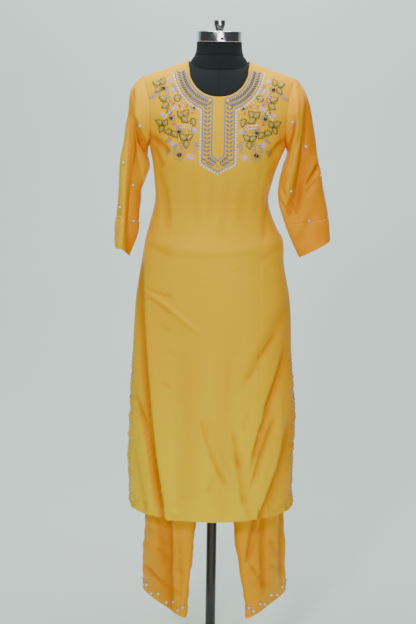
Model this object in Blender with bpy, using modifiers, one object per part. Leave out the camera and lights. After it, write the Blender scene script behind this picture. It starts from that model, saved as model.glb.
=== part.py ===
"""Salwar kameez suit worn by a limbless dress form on a stand.

Metres, +Z up, the front towards -Y, the origin on the floor under the pole.
Left and right are as seen from the front, so left is -X.
Every cloth piece is an open surface worked out from its sizes and given its thickness by Solidify.
"""

import math
from collections import namedtuple
from types import SimpleNamespace

import bpy
from mathutils import Vector

CLOTH = 0.0015  # wall of every cloth panel
SEAM_GAP = 0.0003  # between pieces that a seam joins
ARMHOLE_GAP = 0.0006  # between the sleeve head and the body, whose walls meet at an angle
BODY_GAP = 0.0006  # between the outer faces along the body's own seams, where the walls slope
SIDES = {"left": -1, "right": 1}

# Heights of the garment above the floor
HEM = 0.455
SLIT_TOP = 1.000
SLIT_OPENING = 0.007  # how far each edge of a side slit stands off the middle at the hem
ARMPIT = 1.387
SHOULDER_TIP = 1.553
NECK_POINT = 1.592

# Half widths at the shoulders
ARMPIT_HALF = 0.168
SHOULDER_HALF = 0.184
NECK_HALF = 0.072

# Dress form and stand
NECK_TOP = 1.637
CAP_RADIUS = 0.0545
CAP_HEIGHT = 0.025
FORM_BOTTOM = 0.930
POLE_RADIUS = 0.0135
BASE_RADIUS = 0.160
BASE_THICKNESS = 0.012

# Trousers
BAND_TOP = 1.145
BAND_HEIGHT = 0.035
CROTCH = 0.800
LEG_HEM = 0.163


class Table:
    """Rows of named columns, read at any value of the first column on a smooth curve."""

    def __init__(self, names, *rows):
        self.names = names.split()
        self.rows = sorted(rows)

    def slope(self, i, column):
        """Slope at row i, from its neighbours."""
        low = self.rows[max(i - 1, 0)]
        high = self.rows[min(i + 1, len(self.rows) - 1)]
        return (high[column] - low[column]) / (high[0] - low[0])

    def at(self, key):
        keys = [row[0] for row in self.rows]
        key = min(max(key, keys[0]), keys[-1])
        i = max(k for k in range(len(keys) - 1) if keys[k] <= key)
        low, high = self.rows[i], self.rows[i + 1]
        span = high[0] - low[0]
        t = (key - low[0]) / span
        found = {}
        for column, name in enumerate(self.names):
            found[name] = (
                low[column] * (1 + 2 * t) * (1 - t) ** 2
                + high[column] * t * t * (3 - 2 * t)
                + self.slope(i, column) * span * t * (1 - t) ** 2
                - self.slope(i + 1, column) * span * t * t * (1 - t)
            )
        return SimpleNamespace(**found)


def ease(t):
    """0 below 0, 1 above 1, smooth between."""
    t = min(max(t, 0.0), 1.0)
    return t * t * (3 - 2 * t)


def mix(a, b, t):
    return a + (b - a) * t


# A fold runs from (x0, z0) to (x1, z1) in the front view, bowed sideways at its middle.
# left and right are how far its sides reach, and depth is positive for a trough.
Fold = namedtuple("Fold", "x0 z0 x1 z1 left right depth bow")


def fold_depth(folds, x, z):
    """How far all the folds sink the cloth at a point of the front view."""
    total = 0.0
    for fold in folds:
        dx, dz = fold.x1 - fold.x0, fold.z1 - fold.z0
        length = math.hypot(dx, dz)
        along = ((x - fold.x0) * dx + (z - fold.z0) * dz) / length**2
        if not -0.3 < along < 1.3:
            continue
        t = min(max(along, 0.0), 1.0)
        across = ((z - fold.z0) * dx - (x - fold.x0) * dz) / length
        across -= fold.bow * 4 * t * (1 - t)
        reach = fold.right if across > 0 else fold.left
        fade = ease((along + 0.15) / 0.4) * ease((1.15 - along) / 0.3)
        total += fold.depth * fade * math.exp(-((across / reach) ** 2))
    return total


def outward(surface, u, v, step=0.002):
    """Unit normal of surface(u, v), where u runs anticlockwise seen from above and v runs up."""
    across = surface(u + step, v) - surface(u - step, v)
    up = surface(u, v + step) - surface(u, v - step)
    return across.cross(up).normalized()


def material(name, colour, roughness, metallic=0.0):
    found = bpy.data.materials.new(name)
    found.use_nodes = True
    shader = found.node_tree.nodes["Principled BSDF"]
    shader.inputs["Base Color"].default_value = (*colour, 1)
    shader.inputs["Roughness"].default_value = roughness
    shader.inputs["Metallic"].default_value = metallic
    return found


def add_mesh(name, points, faces, finish, collection="salwar_kameez_suit"):
    mesh = bpy.data.meshes.new(name)
    mesh.from_pydata([tuple(p) for p in points], [], faces)
    mesh.validate()
    mesh.shade_smooth()
    obj = bpy.data.objects.new(name, mesh)
    bpy.data.collections[collection].objects.link(obj)
    obj.data.materials.append(finish)
    return obj


def grid_faces(rows, columns, around=False):
    """Quads of a grid whose rows run up and whose columns run anticlockwise seen from above."""
    faces = []
    for i in range(rows - 1):
        for j in range(columns if around else columns - 1):
            k = (j + 1) % columns
            low, high = i * columns, (i + 1) * columns
            faces.append((low + j, low + k, high + k, high + j))
    return faces


def cloth(name, grid, finish, around=False, thickness=CLOTH, move=(0, 0, 0)):
    """A cloth panel: its outer surface as a grid, thickened inwards."""
    points = [p + Vector(move) for row in grid for p in row]
    obj = add_mesh(name, points, grid_faces(len(grid), len(grid[0]), around), finish)
    wall = obj.modifiers.new("wall", "SOLIDIFY")
    wall.thickness = thickness
    wall.offset = -1
    wall.use_quality_normals = True
    return obj


def closed_loft(name, rings, finish, collection="salwar_kameez_suit"):
    """A closed solid through rings listed upwards, each anticlockwise, with flat ends."""
    count = len(rings[0])
    points = [p for ring in rings for p in ring]
    faces = grid_faces(len(rings), count, around=True)
    faces.append(tuple(reversed(range(count))))
    faces.append(tuple(range((len(rings) - 1) * count, len(rings) * count)))
    return add_mesh(name, points, faces, finish, collection)


def turned(name, profile, finish, steps):
    """A turned solid: (radius, height) points down its outer side, from the axis to the axis. A
    profile that starts off the axis is closed into a ring."""
    edges = [(i, i + 1) for i in range(len(profile) - 1)]
    if profile[0][0] > 0:
        edges.append((len(profile) - 1, 0))
    mesh = bpy.data.meshes.new(name)
    mesh.from_pydata([(r, 0, z) for r, z in profile], edges, [])
    obj = bpy.data.objects.new(name, mesh)
    bpy.data.collections["salwar_kameez_suit"].objects.link(obj)
    obj.data.materials.append(finish)
    spin = obj.modifiers.new("turn", "SCREW")
    spin.steps = spin.render_steps = steps
    spin.use_merge_vertices = True
    spin.merge_threshold = 0.0001


class Trunk:
    """A torso-shaped surface, as wide as its sections up to the armpit, then a yoke over the shoulders.

    A point has a place across, f, from -1 at the left edge to 1 at the right, and a level: below the
    armpit its height under it in metres, negative, and above it the share of the way to the shoulder
    line. The edges are the side seams, and above the armpit the armholes.
    """

    def __init__(self, sections, armpit_half, shoulder_half, drop, depth_front, depth_back, arm_depth):
        self.sections = sections
        self.armpit_half = armpit_half
        self.shoulder_half = shoulder_half
        self.drop = drop
        self.depths = {-1: depth_front, 1: depth_back}
        self.arm_depth = arm_depth

    def shoulder_line(self, x):
        """Height of the shoulder line, level inside the neck points."""
        share = max(abs(x) - NECK_HALF, 0) / (SHOULDER_HALF - NECK_HALF)
        return NECK_POINT - self.drop - (NECK_POINT - SHOULDER_TIP) * share

    def edge_half(self, v):
        """Half width between the armholes, which scoop in over the chest."""
        scoop = 0.008 * math.sin(math.pi * v)
        return mix(self.armpit_half, self.shoulder_half, v * v) - scoop

    def spread(self, v):
        """Angle that the yoke's arc takes up on each side: less than a quarter turn at the armhole."""
        return math.radians(90 - 38 * ease(v / 0.4))

    def across(self, x, v):
        """The place f across at a given x, at a yoke level."""
        share = min(max(x / self.edge_half(v), -1), 1)
        return math.asin(share * math.sin(self.spread(v))) / self.spread(v)

    def level_of(self, x, z):
        return (z - ARMPIT) / (self.shoulder_line(x) - ARMPIT)

    def point(self, f, level, side):
        """The surface at f and level, on the front (side -1) or the back (side 1)."""
        if level <= 0:
            row = self.sections.at(ARMPIT + level)
            depth = row.front if side < 0 else row.back
            angle = f * math.pi / 2
            x = row.centre + row.half * math.sin(angle)
            return Vector((x, side * depth * math.cos(angle), ARMPIT + level))
        v = min(level, 1.0)
        arc = self.spread(v)
        x = self.edge_half(v) * math.sin(f * arc) / math.sin(arc)
        middle = 1 - ease(abs(x) / 0.1)
        roundness = (4 + 10 * middle) if side < 0 else 8
        roll = math.sqrt(max(1 - v**roundness, 0))
        edge = self.arm_depth * ease(v / 0.5) ** 0.6
        arch = (math.cos(f * arc) - math.cos(arc)) / (1 - math.cos(arc))
        depth = self.depths[side].at(v).depth * (edge + (1 - edge) * arch) * roll
        return Vector((x, side * depth, ARMPIT + (self.shoulder_line(x) - ARMPIT) * v))


# The kameez, as it hangs

KAMEEZ_SECTIONS = Table(
    "z centre half front back",
    (0.455, -0.004, 0.213, 0.140, 0.128),
    (0.585, -0.006, 0.215, 0.136, 0.126),
    (0.715, -0.003, 0.213, 0.132, 0.124),
    (0.845, -0.006, 0.204, 0.128, 0.122),
    (1.000, -0.006, 0.195, 0.124, 0.120),
    (1.095, -0.008, 0.179, 0.119, 0.117),
    (1.155, -0.005, 0.172, 0.113, 0.111),
    (1.190, -0.010, 0.158, 0.104, 0.102),
    (1.250, -0.013, 0.141, 0.099, 0.089),
    (1.305, -0.009, 0.147, 0.109, 0.087),
    (1.345, -0.005, 0.155, 0.115, 0.090),
    (1.387, 0.000, 0.168, 0.114, 0.092),
)
KAMEEZ_CHEST = Table(
    "v depth", (0, 0.114), (0.12, 0.1128), (0.3, 0.107), (0.6, 0.090), (0.8, 0.077), (1, 0.066)
)
KAMEEZ_UPPER_BACK = Table("v depth", (0, 0.092), (0.4, 0.098), (0.9, 0.096), (1, 0.092))
PRINCESS_SEAM = Table(
    "z x", (0.455, 0.120), (0.900, 0.112), (1.100, 0.107), (1.260, 0.100), (1.387, 0.105)
)
SEAM_AT_SHOULDER = 0.115
NECKLINE = SimpleNamespace(half=0.075, centre=1.580, depth=0.076, back_drop=0.018)
BUST = SimpleNamespace(x=0.086, z=1.352, reach=0.046, height=0.006)

KAMEEZ_FRONT_FOLDS = [
    # the deep pleat from the left hip to the hem, and the edge that stands proud beside it
    Fold(-0.186, 1.090, -0.138, 0.440, 0.026, 0.018, 0.020, -0.012),
    Fold(-0.166, 1.080, -0.104, 0.440, 0.014, 0.026, -0.005, -0.010),
    Fold(-0.196, 0.760, -0.146, 0.520, 0.018, 0.016, 0.007, 0.004),
    # drag lines from the left hip
    Fold(-0.184, 1.048, -0.100, 1.020, 0.012, 0.012, 0.005, 0.0),
    Fold(-0.180, 1.030, -0.060, 0.960, 0.012, 0.012, -0.007, 0.004),
    # slanting folds down to the right hem
    Fold(0.172, 0.860, 0.104, 0.600, 0.014, 0.020, 0.012, -0.006),
    Fold(0.150, 0.700, 0.098, 0.550, 0.012, 0.016, 0.008, 0.0),
    Fold(0.190, 0.680, 0.114, 0.440, 0.010, 0.026, 0.014, 0.010),
    Fold(0.190, 1.010, 0.070, 0.800, 0.020, 0.024, 0.005, 0.0),
    # soft folds in the middle of the skirt
    Fold(-0.030, 0.710, 0.030, 0.560, 0.014, 0.020, 0.006, -0.004),
    Fold(0.048, 0.690, 0.066, 0.590, 0.012, 0.014, 0.004, 0.0),
    # the waistband that shows through
    Fold(0.165, 1.166, -0.175, 1.156, 0.014, 0.010, -0.003, 0.022),
]
KAMEEZ_BACK_FOLDS = [
    Fold(-0.160, 1.060, -0.120, 0.440, 0.020, 0.016, 0.016, 0.006),
    Fold(0.166, 1.020, 0.126, 0.440, 0.016, 0.022, 0.018, -0.006),
    Fold(-0.050, 0.980, -0.062, 0.440, 0.024, 0.018, 0.010, 0.0),
    Fold(0.052, 1.000, 0.046, 0.440, 0.018, 0.026, 0.011, 0.004),
    Fold(-0.120, 1.220, 0.120, 1.214, 0.014, 0.012, 0.004, -0.006),
]

KAMEEZ = Trunk(
    KAMEEZ_SECTIONS, ARMPIT_HALF, SHOULDER_HALF, 0.0, KAMEEZ_CHEST, KAMEEZ_UPPER_BACK, 0.60
)
YOKE_LEVELS = 10  # levels of the armhole, cosine spaced so that body and sleeve share their points
SKIRT_ROWS = 20
SEAM_STRIP = 0.0025  # narrow column along every seam, so that the walls on both sides stay parallel


def kameez_skin(f, level, side):
    """The kameez's outer surface: the trunk with its bust and folds."""
    base = KAMEEZ.point(f, level, side)
    folds = KAMEEZ_FRONT_FOLDS if side < 0 else KAMEEZ_BACK_FOLDS
    sink = fold_depth(folds, base.x, base.z)
    if base.z < SLIT_TOP:
        base.y += side * SLIT_OPENING * (SLIT_TOP - base.z) / (SLIT_TOP - HEM) * abs(f) ** 8
    if side < 0:
        away = (abs(base.x) - BUST.x) ** 2 + (base.z - BUST.z) ** 2
        sink -= BUST.height * math.exp(-away / BUST.reach**2)
    sink *= 1 - 0.8 * ease((abs(f) - 0.80) / 0.18)  # the folds die out towards the side seams
    if abs(sink) < 1e-5 or level > 0.97:
        return base
    return base + trunk_inward(KAMEEZ, f, level, side) * sink


def trunk_inward(trunk, f, level, side):
    """Unit vector into the body, square to the trunk."""
    return -outward(lambda u, v: trunk.point(u * -side, v, side), f * -side, level)


def yoke_levels():
    levels = [(1 - math.cos(math.pi * k / YOKE_LEVELS)) / 2 for k in range(1, YOKE_LEVELS)]
    return [*levels, 0.9955, 1.0]


def skirt_levels():
    return [mix(HEM, ARMPIT, k / SKIRT_ROWS) - ARMPIT for k in range(SKIRT_ROWS + 1)]


# Widths of the panels round the body, about the same from the bust to the hem
CENTRE_WIDTH = 0.230
SIDE_WIDTH = 0.100
BACK_WIDTH = 0.500


def columns_across(count, width):
    """Shares across a panel: even columns, and a seam strip at each edge."""
    strip = SEAM_STRIP / width
    return [0, strip, *[k / count for k in range(1, count)], 1 - strip, 1]


def body_panel(side, edges, top, width):
    """Grid of a body panel. edges(level) gives its left and right f below the armpit, and top its
    (f, level) points along the shoulder and neck."""
    shares = columns_across(len(top) - 3, width)
    grid = []
    for level in skirt_levels():
        first, last = edges(level)
        grid.append([kameez_skin(mix(first, last, share), level, side) for share in shares])
    first, last = edges(0)
    for t in yoke_levels():
        row = []
        for share, (f, v) in zip(shares, top):
            row.append(kameez_skin(mix(mix(first, last, share), f, t), v * t, side))
        grid.append(row)
    return grid


def shoulder_points(outer, inner, count):
    """The left shoulder line from its outer end to the neck, as (f, level), without the last."""
    steps = [outer + SEAM_STRIP] + [mix(outer, inner, k / count) for k in range(1, count)]
    return [(KAMEEZ.across(x, 1), 1.0) for x in [outer, *steps]]


def neckline_points(drop_centre, half, depth, steps):
    """The neckline from its left end to its right, as (f, level)."""
    found = []
    for k in range(steps + 1):
        angle = math.pi * (1 - k / steps)
        x, z = half * math.cos(angle), drop_centre - depth * math.sin(angle)
        v = KAMEEZ.level_of(x, z)
        found.append((KAMEEZ.across(x, v), v))
    return found


def seam_place(level):
    """f of the princess seam below the armpit, on the left and the right."""
    row = KAMEEZ_SECTIONS.at(ARMPIT + level)
    x = PRINCESS_SEAM.at(ARMPIT + level).x
    return [math.asin((s * x - row.centre) / row.half) * 2 / math.pi for s in (-1, 1)]


def front_centre(finish):
    """The middle front panel, between the princess seams, with the round neckline."""
    left = shoulder_points(-SEAM_AT_SHOULDER, -NECK_HALF, 2)
    right = [(-f, v) for f, v in reversed(left)]
    curve = neckline_points(NECKLINE.centre, NECKLINE.half, NECKLINE.depth, 8)
    points = [(KAMEEZ.across(-NECK_HALF, 1), 1.0), *curve, (KAMEEZ.across(NECK_HALF, 1), 1.0)]
    grid = body_panel(-1, seam_place, left + points + right, CENTRE_WIDTH)
    cloth("kameez_front_centre", grid, finish, move=(0, -BODY_GAP / 2, 0))


def front_side(name, s, finish):
    """A side front panel, from the princess seam to the side seam and the armhole."""
    edge = KAMEEZ.across(SEAM_AT_SHOULDER, 1)
    top = [(mix(edge, 1, share), 1.0) for share in columns_across(5, SIDE_WIDTH)]

    def edges(level):
        left, right = seam_place(level)
        return (right, 1) if s > 0 else (-1, left)

    if s < 0:
        top = [(-f, v) for f, v in reversed(top)]
    grid = body_panel(-1, edges, top, SIDE_WIDTH)
    cloth(f"kameez_front_{name}", grid, finish, move=(s * BODY_GAP, -BODY_GAP / 2, 0))


def back(finish):
    """The back panel, cut in one piece, with a shallow neckline."""
    left = shoulder_points(-SHOULDER_HALF, -NECK_HALF, 4)
    right = [(-f, v) for f, v in reversed(left)]
    curve = neckline_points(NECK_POINT, NECK_HALF, NECKLINE.back_drop, 6)
    top = list(reversed(left + curve + right))
    grid = body_panel(1, lambda level: (1, -1), top, BACK_WIDTH)
    cloth("kameez_back", grid, finish, move=(0, BODY_GAP / 2, 0))


# The sleeves: three-quarter length, each a tube from the armhole to the cuff. Each row gives the
# outer and inner points of a ring in the front view, and how deep the ring is to the front and back.

SLEEVES = {
    "left": Table(
        "t outer_x outer_z inner_x inner_z front back y",
        (0.00, 0.184, 1.553, 0.168, 1.387, 0.054, 0.056, 0.000),
        (0.08, 0.199, 1.541, 0.171, 1.377, 0.058, 0.060, 0.000),
        (0.18, 0.214, 1.517, 0.173, 1.364, 0.062, 0.062, 0.000),
        (0.30, 0.220, 1.470, 0.169, 1.346, 0.064, 0.064, -0.002),
        (0.42, 0.227, 1.425, 0.166, 1.330, 0.064, 0.062, -0.004),
        (0.55, 0.238, 1.360, 0.175, 1.303, 0.061, 0.059, -0.008),
        (0.68, 0.243, 1.295, 0.187, 1.270, 0.056, 0.055, -0.012),
        (0.80, 0.247, 1.230, 0.190, 1.222, 0.051, 0.051, -0.016),
        (0.90, 0.252, 1.182, 0.194, 1.170, 0.047, 0.047, -0.020),
        (1.00, 0.252, 1.140, 0.216, 1.114, 0.044, 0.044, -0.024),
    ),
    "right": Table(
        "t outer_x outer_z inner_x inner_z front back y",
        (0.00, 0.184, 1.553, 0.168, 1.387, 0.054, 0.056, 0.000),
        (0.08, 0.200, 1.540, 0.170, 1.378, 0.057, 0.060, 0.000),
        (0.18, 0.215, 1.512, 0.170, 1.366, 0.059, 0.062, 0.000),
        (0.30, 0.226, 1.475, 0.166, 1.352, 0.059, 0.060, -0.002),
        (0.42, 0.234, 1.435, 0.159, 1.335, 0.056, 0.056, -0.004),
        (0.55, 0.246, 1.370, 0.152, 1.300, 0.050, 0.050, -0.008),
        (0.68, 0.260, 1.300, 0.152, 1.262, 0.042, 0.042, -0.012),
        (0.80, 0.274, 1.235, 0.162, 1.215, 0.034, 0.034, -0.016),
        (0.90, 0.279, 1.194, 0.180, 1.170, 0.032, 0.032, -0.020),
        (1.00, 0.281, 1.160, 0.206, 1.116, 0.034, 0.034, -0.024),
    ),
}
SLEEVE_FOLDS = {
    "left": [
        Fold(-0.212, 1.500, -0.224, 1.130, 0.010, 0.014, 0.016, 0.006),
        Fold(-0.202, 1.300, -0.206, 1.130, 0.012, 0.016, 0.010, 0.0),
        Fold(-0.172, 1.400, -0.196, 1.330, 0.010, 0.014, 0.006, 0.0),
    ],
    "right": [
        Fold(0.212, 1.480, 0.180, 1.230, 0.014, 0.022, 0.014, 0.008),
        Fold(0.176, 1.440, 0.172, 1.370, 0.010, 0.012, 0.008, 0.0),
        Fold(0.250, 1.345, 0.214, 1.305, 0.010, 0.010, 0.006, 0.0),
        Fold(0.165, 1.270, 0.190, 1.225, 0.012, 0.010, 0.006, 0.0),
    ],
}
SLEEVE_BACK_FOLDS = {
    "left": [Fold(-0.212, 1.480, -0.222, 1.130, 0.014, 0.014, 0.010, 0.004)],
    "right": [Fold(0.214, 1.480, 0.222, 1.130, 0.016, 0.018, 0.010, -0.006)],
}
SLEEVE_ROWS = 17


def sleeve_ring(name, angle, t):
    """The sleeve's surface before its folds. angle 0 is the outer side and a quarter turn the front."""
    s = SIDES[name]
    row = SLEEVES[name].at(t)
    outer = Vector((s * row.outer_x, row.y, row.outer_z))
    inner = Vector((s * row.inner_x, row.y, row.inner_z))
    depth = row.front if math.sin(angle) > 0 else row.back
    ring = (outer + inner) / 2 + (outer - inner) / 2 * math.cos(angle)
    ring += Vector((0, -depth * math.sin(angle), 0))
    side = -1 if math.sin(angle) >= 0 else 1
    armhole = kameez_skin(s, (1 + math.cos(angle)) / 2, side)
    return armhole.lerp(ring, ease(t / 0.18))


def sleeve_skin(name, angle, t):
    base = sleeve_ring(name, angle, t)
    if t < 0.1:
        return base
    s = SIDES[name]
    normal = outward(lambda u, v: sleeve_ring(name, -s * u, 1 - v), -s * angle, 1 - t, 0.01)
    folds = SLEEVE_FOLDS[name] if normal.y < 0 else SLEEVE_BACK_FOLDS[name]
    return base - normal * fold_depth(folds, base.x, base.z) * ease(abs(normal.y) * 1.6)


def sleeve(name, finish):
    s = SIDES[name]
    count = 2 * YOKE_LEVELS
    grid = []
    for i in range(SLEEVE_ROWS + 1):
        t = 1 - i / SLEEVE_ROWS
        angles = [-s * 2 * math.pi * k / count for k in range(count)]
        grid.append([sleeve_skin(name, angle, t) for angle in angles])
    cloth(f"sleeve_{name}", grid, finish, around=True, move=(s * (BODY_GAP + ARMHOLE_GAP), 0, 0))


# The trousers: a waistband on the hips of the form, and a front and a back panel for each leg. A
# row of a panel runs from its inner edge, the centre seam and then the inseam, to the outseam.

HIPS = Table(
    "z half front back",
    (0.800, 0.168, 0.098, 0.096),
    (0.900, 0.167, 0.103, 0.100),
    (1.000, 0.166, 0.107, 0.104),
    (1.060, 0.1645, 0.1085, 0.105),
    (1.115, 0.1615, 0.1055, 0.1005),
)
FORK_TOP = 0.900
CROTCH_OPENING = 0.019
LEGS = {
    "left": Table(
        "z inner_x inner_y outer_x outer_y front back",
        (0.163, 0.066, -0.080, 0.182, 0.058, 0.020, 0.018),
        (0.210, 0.063, -0.074, 0.180, 0.054, 0.024, 0.020),
        (0.280, 0.056, -0.064, 0.177, 0.048, 0.030, 0.024),
        (0.386, 0.046, -0.048, 0.172, 0.038, 0.038, 0.030),
        (0.550, 0.034, -0.026, 0.168, 0.022, 0.054, 0.046),
        (0.700, 0.024, -0.008, 0.165, 0.006, 0.072, 0.068),
        (0.800, 0.019, 0.000, 0.164, 0.000, 0.082, 0.080),
    ),
    "right": Table(
        "z inner_x inner_y outer_x outer_y front back",
        (0.163, 0.094, -0.080, 0.198, 0.058, 0.020, 0.018),
        (0.210, 0.090, -0.074, 0.197, 0.054, 0.024, 0.020),
        (0.280, 0.080, -0.064, 0.195, 0.048, 0.030, 0.024),
        (0.386, 0.062, -0.048, 0.189, 0.038, 0.038, 0.030),
        (0.550, 0.042, -0.026, 0.178, 0.022, 0.054, 0.046),
        (0.700, 0.026, -0.008, 0.166, 0.006, 0.072, 0.068),
        (0.800, 0.019, 0.000, 0.164, 0.000, 0.082, 0.080),
    ),
}
HEM_RISE = 0.028  # the outseam's hem above the inseam's
LEG_FOLDS = {
    "left": [
        Fold(-0.112, 0.470, -0.106, 0.190, 0.020, 0.010, 0.014, 0.0),
        Fold(-0.160, 0.420, -0.120, 0.270, 0.014, 0.014, 0.005, 0.0),
        Fold(-0.180, 0.262, -0.110, 0.216, 0.010, 0.012, 0.005, 0.0),
    ],
    "right": [
        Fold(0.112, 0.450, 0.094, 0.310, 0.012, 0.012, 0.008, 0.0),
        Fold(0.130, 0.440, 0.136, 0.240, 0.010, 0.012, 0.008, 0.0),
        Fold(0.182, 0.460, 0.188, 0.230, 0.010, 0.012, 0.010, 0.0),
    ],
}
LEG_BACK_FOLDS = {
    "left": [Fold(-0.100, 0.560, -0.118, 0.190, 0.016, 0.014, 0.008, 0.0)],
    "right": [Fold(0.108, 0.560, 0.140, 0.190, 0.014, 0.016, 0.008, 0.0)],
}
LEG_SHARES = [0, 0.03, 1 / 6, 2 / 6, 3 / 6, 4 / 6, 5 / 6, 0.97, 1]
LEG_ROWS = [0.163, 0.190, 0.225, 0.265, 0.310, 0.360, 0.415, 0.475, 0.540, 0.610, 0.680, 0.745, 0.800]
LEG_SEAM_GAP = 0.0009  # the walls meet at a slight angle along the inseam and outseam


def leg_panel(name, side, share, z):
    """A leg panel's surface before its folds, share 0 at its inner edge and 1 at the outseam."""
    s = SIDES[name]
    z = max(z, LEG_HEM)
    row = LEGS[name].at(z)
    inner = Vector((s * row.inner_x, row.inner_y, z))
    outer = Vector((s * row.outer_x, row.outer_y, z))
    along = outer - inner
    square = Vector((along.y, -along.x, 0)).normalized() * s * -side
    bulge = row.front if side < 0 else row.back
    point = inner + along * (1 - math.cos(share * math.pi)) / 2
    point += square * bulge * max(math.sin(share * math.pi), 0) ** 0.7
    point.z += HEM_RISE * share * ease((0.3 - z) / 0.14)
    if z <= CROTCH:
        return point
    hips = HIPS.at(z)
    quarter = share * math.pi / 2
    depth = hips.front if side < 0 else hips.back
    hip = Vector((s * hips.half * math.sin(quarter), side * depth * math.cos(quarter), z))
    down = min(max((FORK_TOP - z) / (FORK_TOP - CROTCH), 0), 1)
    return hip.lerp(point, 1 - math.sqrt(1 - down * down))


def leg_skin(name, side, share, z):
    base = leg_panel(name, side, share, z)
    folds = (LEG_FOLDS if side < 0 else LEG_BACK_FOLDS)[name]
    sink = fold_depth(folds, base.x, base.z)
    if abs(sink) < 1e-5:
        return base
    turn = SIDES[name] * -side
    normal = outward(lambda u, v: leg_panel(name, side, turn * u, v), turn * share, z, 0.004)
    return base - normal * sink


def leg(name, side, finish):
    s = SIDES[name]
    shares = list(LEG_SHARES) if s * -side > 0 else list(reversed(LEG_SHARES))
    fork = FORK_TOP - CROTCH
    rows = LEG_ROWS + [FORK_TOP - fork * math.cos(math.pi / 8 * k) for k in range(1, 5)]
    top = BAND_TOP - BAND_HEIGHT - SEAM_GAP
    rows += [mix(FORK_TOP, top, k / 4) for k in range(1, 5)]
    grid = [[leg_skin(name, side, share, z) for share in shares] for z in rows]
    words = "front" if side < 0 else "back"
    shift = (s * SEAM_GAP * 0.6, side * LEG_SEAM_GAP / 2, 0)
    cloth(f"salwar_{name}_{words}", grid, finish, move=shift)


def waistband(finish):
    """The elastic waistband, a flat ring round the hips of the form."""
    count, thickness = 48, 0.003
    hips = HIPS.at(BAND_TOP - BAND_HEIGHT)
    grid = []
    for z in (BAND_TOP - BAND_HEIGHT, BAND_TOP - BAND_HEIGHT / 2, BAND_TOP):
        ring = []
        for k in range(count):
            angle = 2 * math.pi * k / count
            depth = hips.back if math.sin(angle) > 0 else hips.front
            ring.append(Vector((hips.half * math.cos(angle), depth * math.sin(angle), z)))
        grid.append(ring)
    cloth("salwar_waistband", grid, finish, around=True, thickness=thickness)


# The dress form: a torso that ends at the hips and the shoulders, its neck, and a chrome cap

FORM_SECTIONS = Table(
    "z centre half front back",
    (0.930, 0.0, 0.128, 0.076, 0.076),
    (0.938, 0.0, 0.142, 0.089, 0.088),
    (0.960, 0.0, 0.152, 0.097, 0.095),
    (1.010, 0.0, 0.157, 0.101, 0.099),
    (1.060, 0.0, 0.1585, 0.1025, 0.0985),
    (1.115, 0.0, 0.1578, 0.1018, 0.0968),
    (1.180, 0.0, 0.139, 0.094, 0.087),
    (1.250, 0.0, 0.118, 0.087, 0.077),
    (1.310, 0.0, 0.128, 0.098, 0.077),
    (1.350, 0.0, 0.141, 0.105, 0.082),
    (1.387, 0.0, 0.158, 0.106, 0.085),
)
FORM_CHEST = Table(
    "v depth", (0, 0.106), (0.12, 0.1048), (0.3, 0.100), (0.6, 0.084), (0.8, 0.072), (1, 0.062)
)
FORM_UPPER_BACK = Table("v depth", (0, 0.085), (0.4, 0.091), (0.9, 0.089), (1, 0.086))
FORM = Trunk(FORM_SECTIONS, 0.160, 0.178, CLOTH + 0.0009, FORM_CHEST, FORM_UPPER_BACK, 0.56)
FORM_TOP_LEVEL = 0.998
FORM_FRONT_COLUMNS = 14
FORM_SIDE_FLAT = 0.008
FORM_LOWER = [0.930, 0.938, 0.960, 1.010, 1.060, 1.115, 1.150, 1.190, 1.230, 1.270, 1.310, 1.350]
NECK_RINGS = [
    # z, half width, front, back: from inside the torso up to the cap
    (1.500, 0.060, 0.040, 0.045),
    (1.568, 0.080, 0.056, 0.060),
    (1.584, 0.0725, 0.0555, 0.059),
    (1.594, 0.0665, 0.0545, 0.057),
    (1.604, 0.0600, 0.0535, 0.0555),
    (1.616, 0.0560, 0.0530, 0.0540),
    (1.6367, 0.0545, 0.0530, 0.0530),
]


def form_torso(finish):
    """The torso, joined to its neck."""
    levels = [z - ARMPIT for z in FORM_LOWER] + [0.0]
    levels += [(1 - math.cos(math.pi * k / 9)) / 2 for k in range(1, 9)] + [FORM_TOP_LEVEL]
    count = FORM_FRONT_COLUMNS
    places = [2 * k / count - 1 for k in range(count + 1)]
    rings = []
    for level in levels:
        front = [FORM.point(f, level, -1) for f in places]
        rear = [FORM.point(-f, level, 1) for f in places]
        if level <= 0:  # the halves meet here, so their edge points part by a little
            for point in (front[0], front[-1]):
                point.y -= FORM_SIDE_FLAT / 2
            for point in (rear[0], rear[-1]):
                point.y += FORM_SIDE_FLAT / 2
        rings.append(front + rear)
    torso = closed_loft("form_torso", rings, finish)
    around = [2 * math.pi * k / 32 for k in range(32)]
    rings = []
    for z, half, front, rear in NECK_RINGS:
        rings.append(
            [
                Vector((half * math.cos(a), (rear if math.sin(a) > 0 else front) * math.sin(a), z))
                for a in around
            ]
        )
    neck = closed_loft("neck_tool", rings, finish, "tools")
    neck.hide_render = True
    neck.display_type = "WIRE"
    join = torso.modifiers.new("neck", "BOOLEAN")
    join.operation = "UNION"
    join.object = neck


def form_cap(chrome):
    """The turned chrome cap on the neck and the knob screwed into it."""
    low, high = NECK_TOP, NECK_TOP + CAP_HEIGHT
    rim = 0.0015
    turned(
        "neck_cap",
        [(0, high), (CAP_RADIUS - rim, high), (CAP_RADIUS, high - rim), (CAP_RADIUS, low), (0, low)],
        chrome,
        steps=48,
    )
    foot = high + SEAM_GAP
    turned(
        "neck_knob",
        [
            (0, foot + 0.0255),
            (0.0125, foot + 0.0255),
            (0.0140, foot + 0.0240),
            (0.0140, foot + 0.0145),
            (0.0085, foot + 0.0010),
            (0.0085, foot),
            (0, foot),
        ],
        chrome,
        steps=24,
    )


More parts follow.
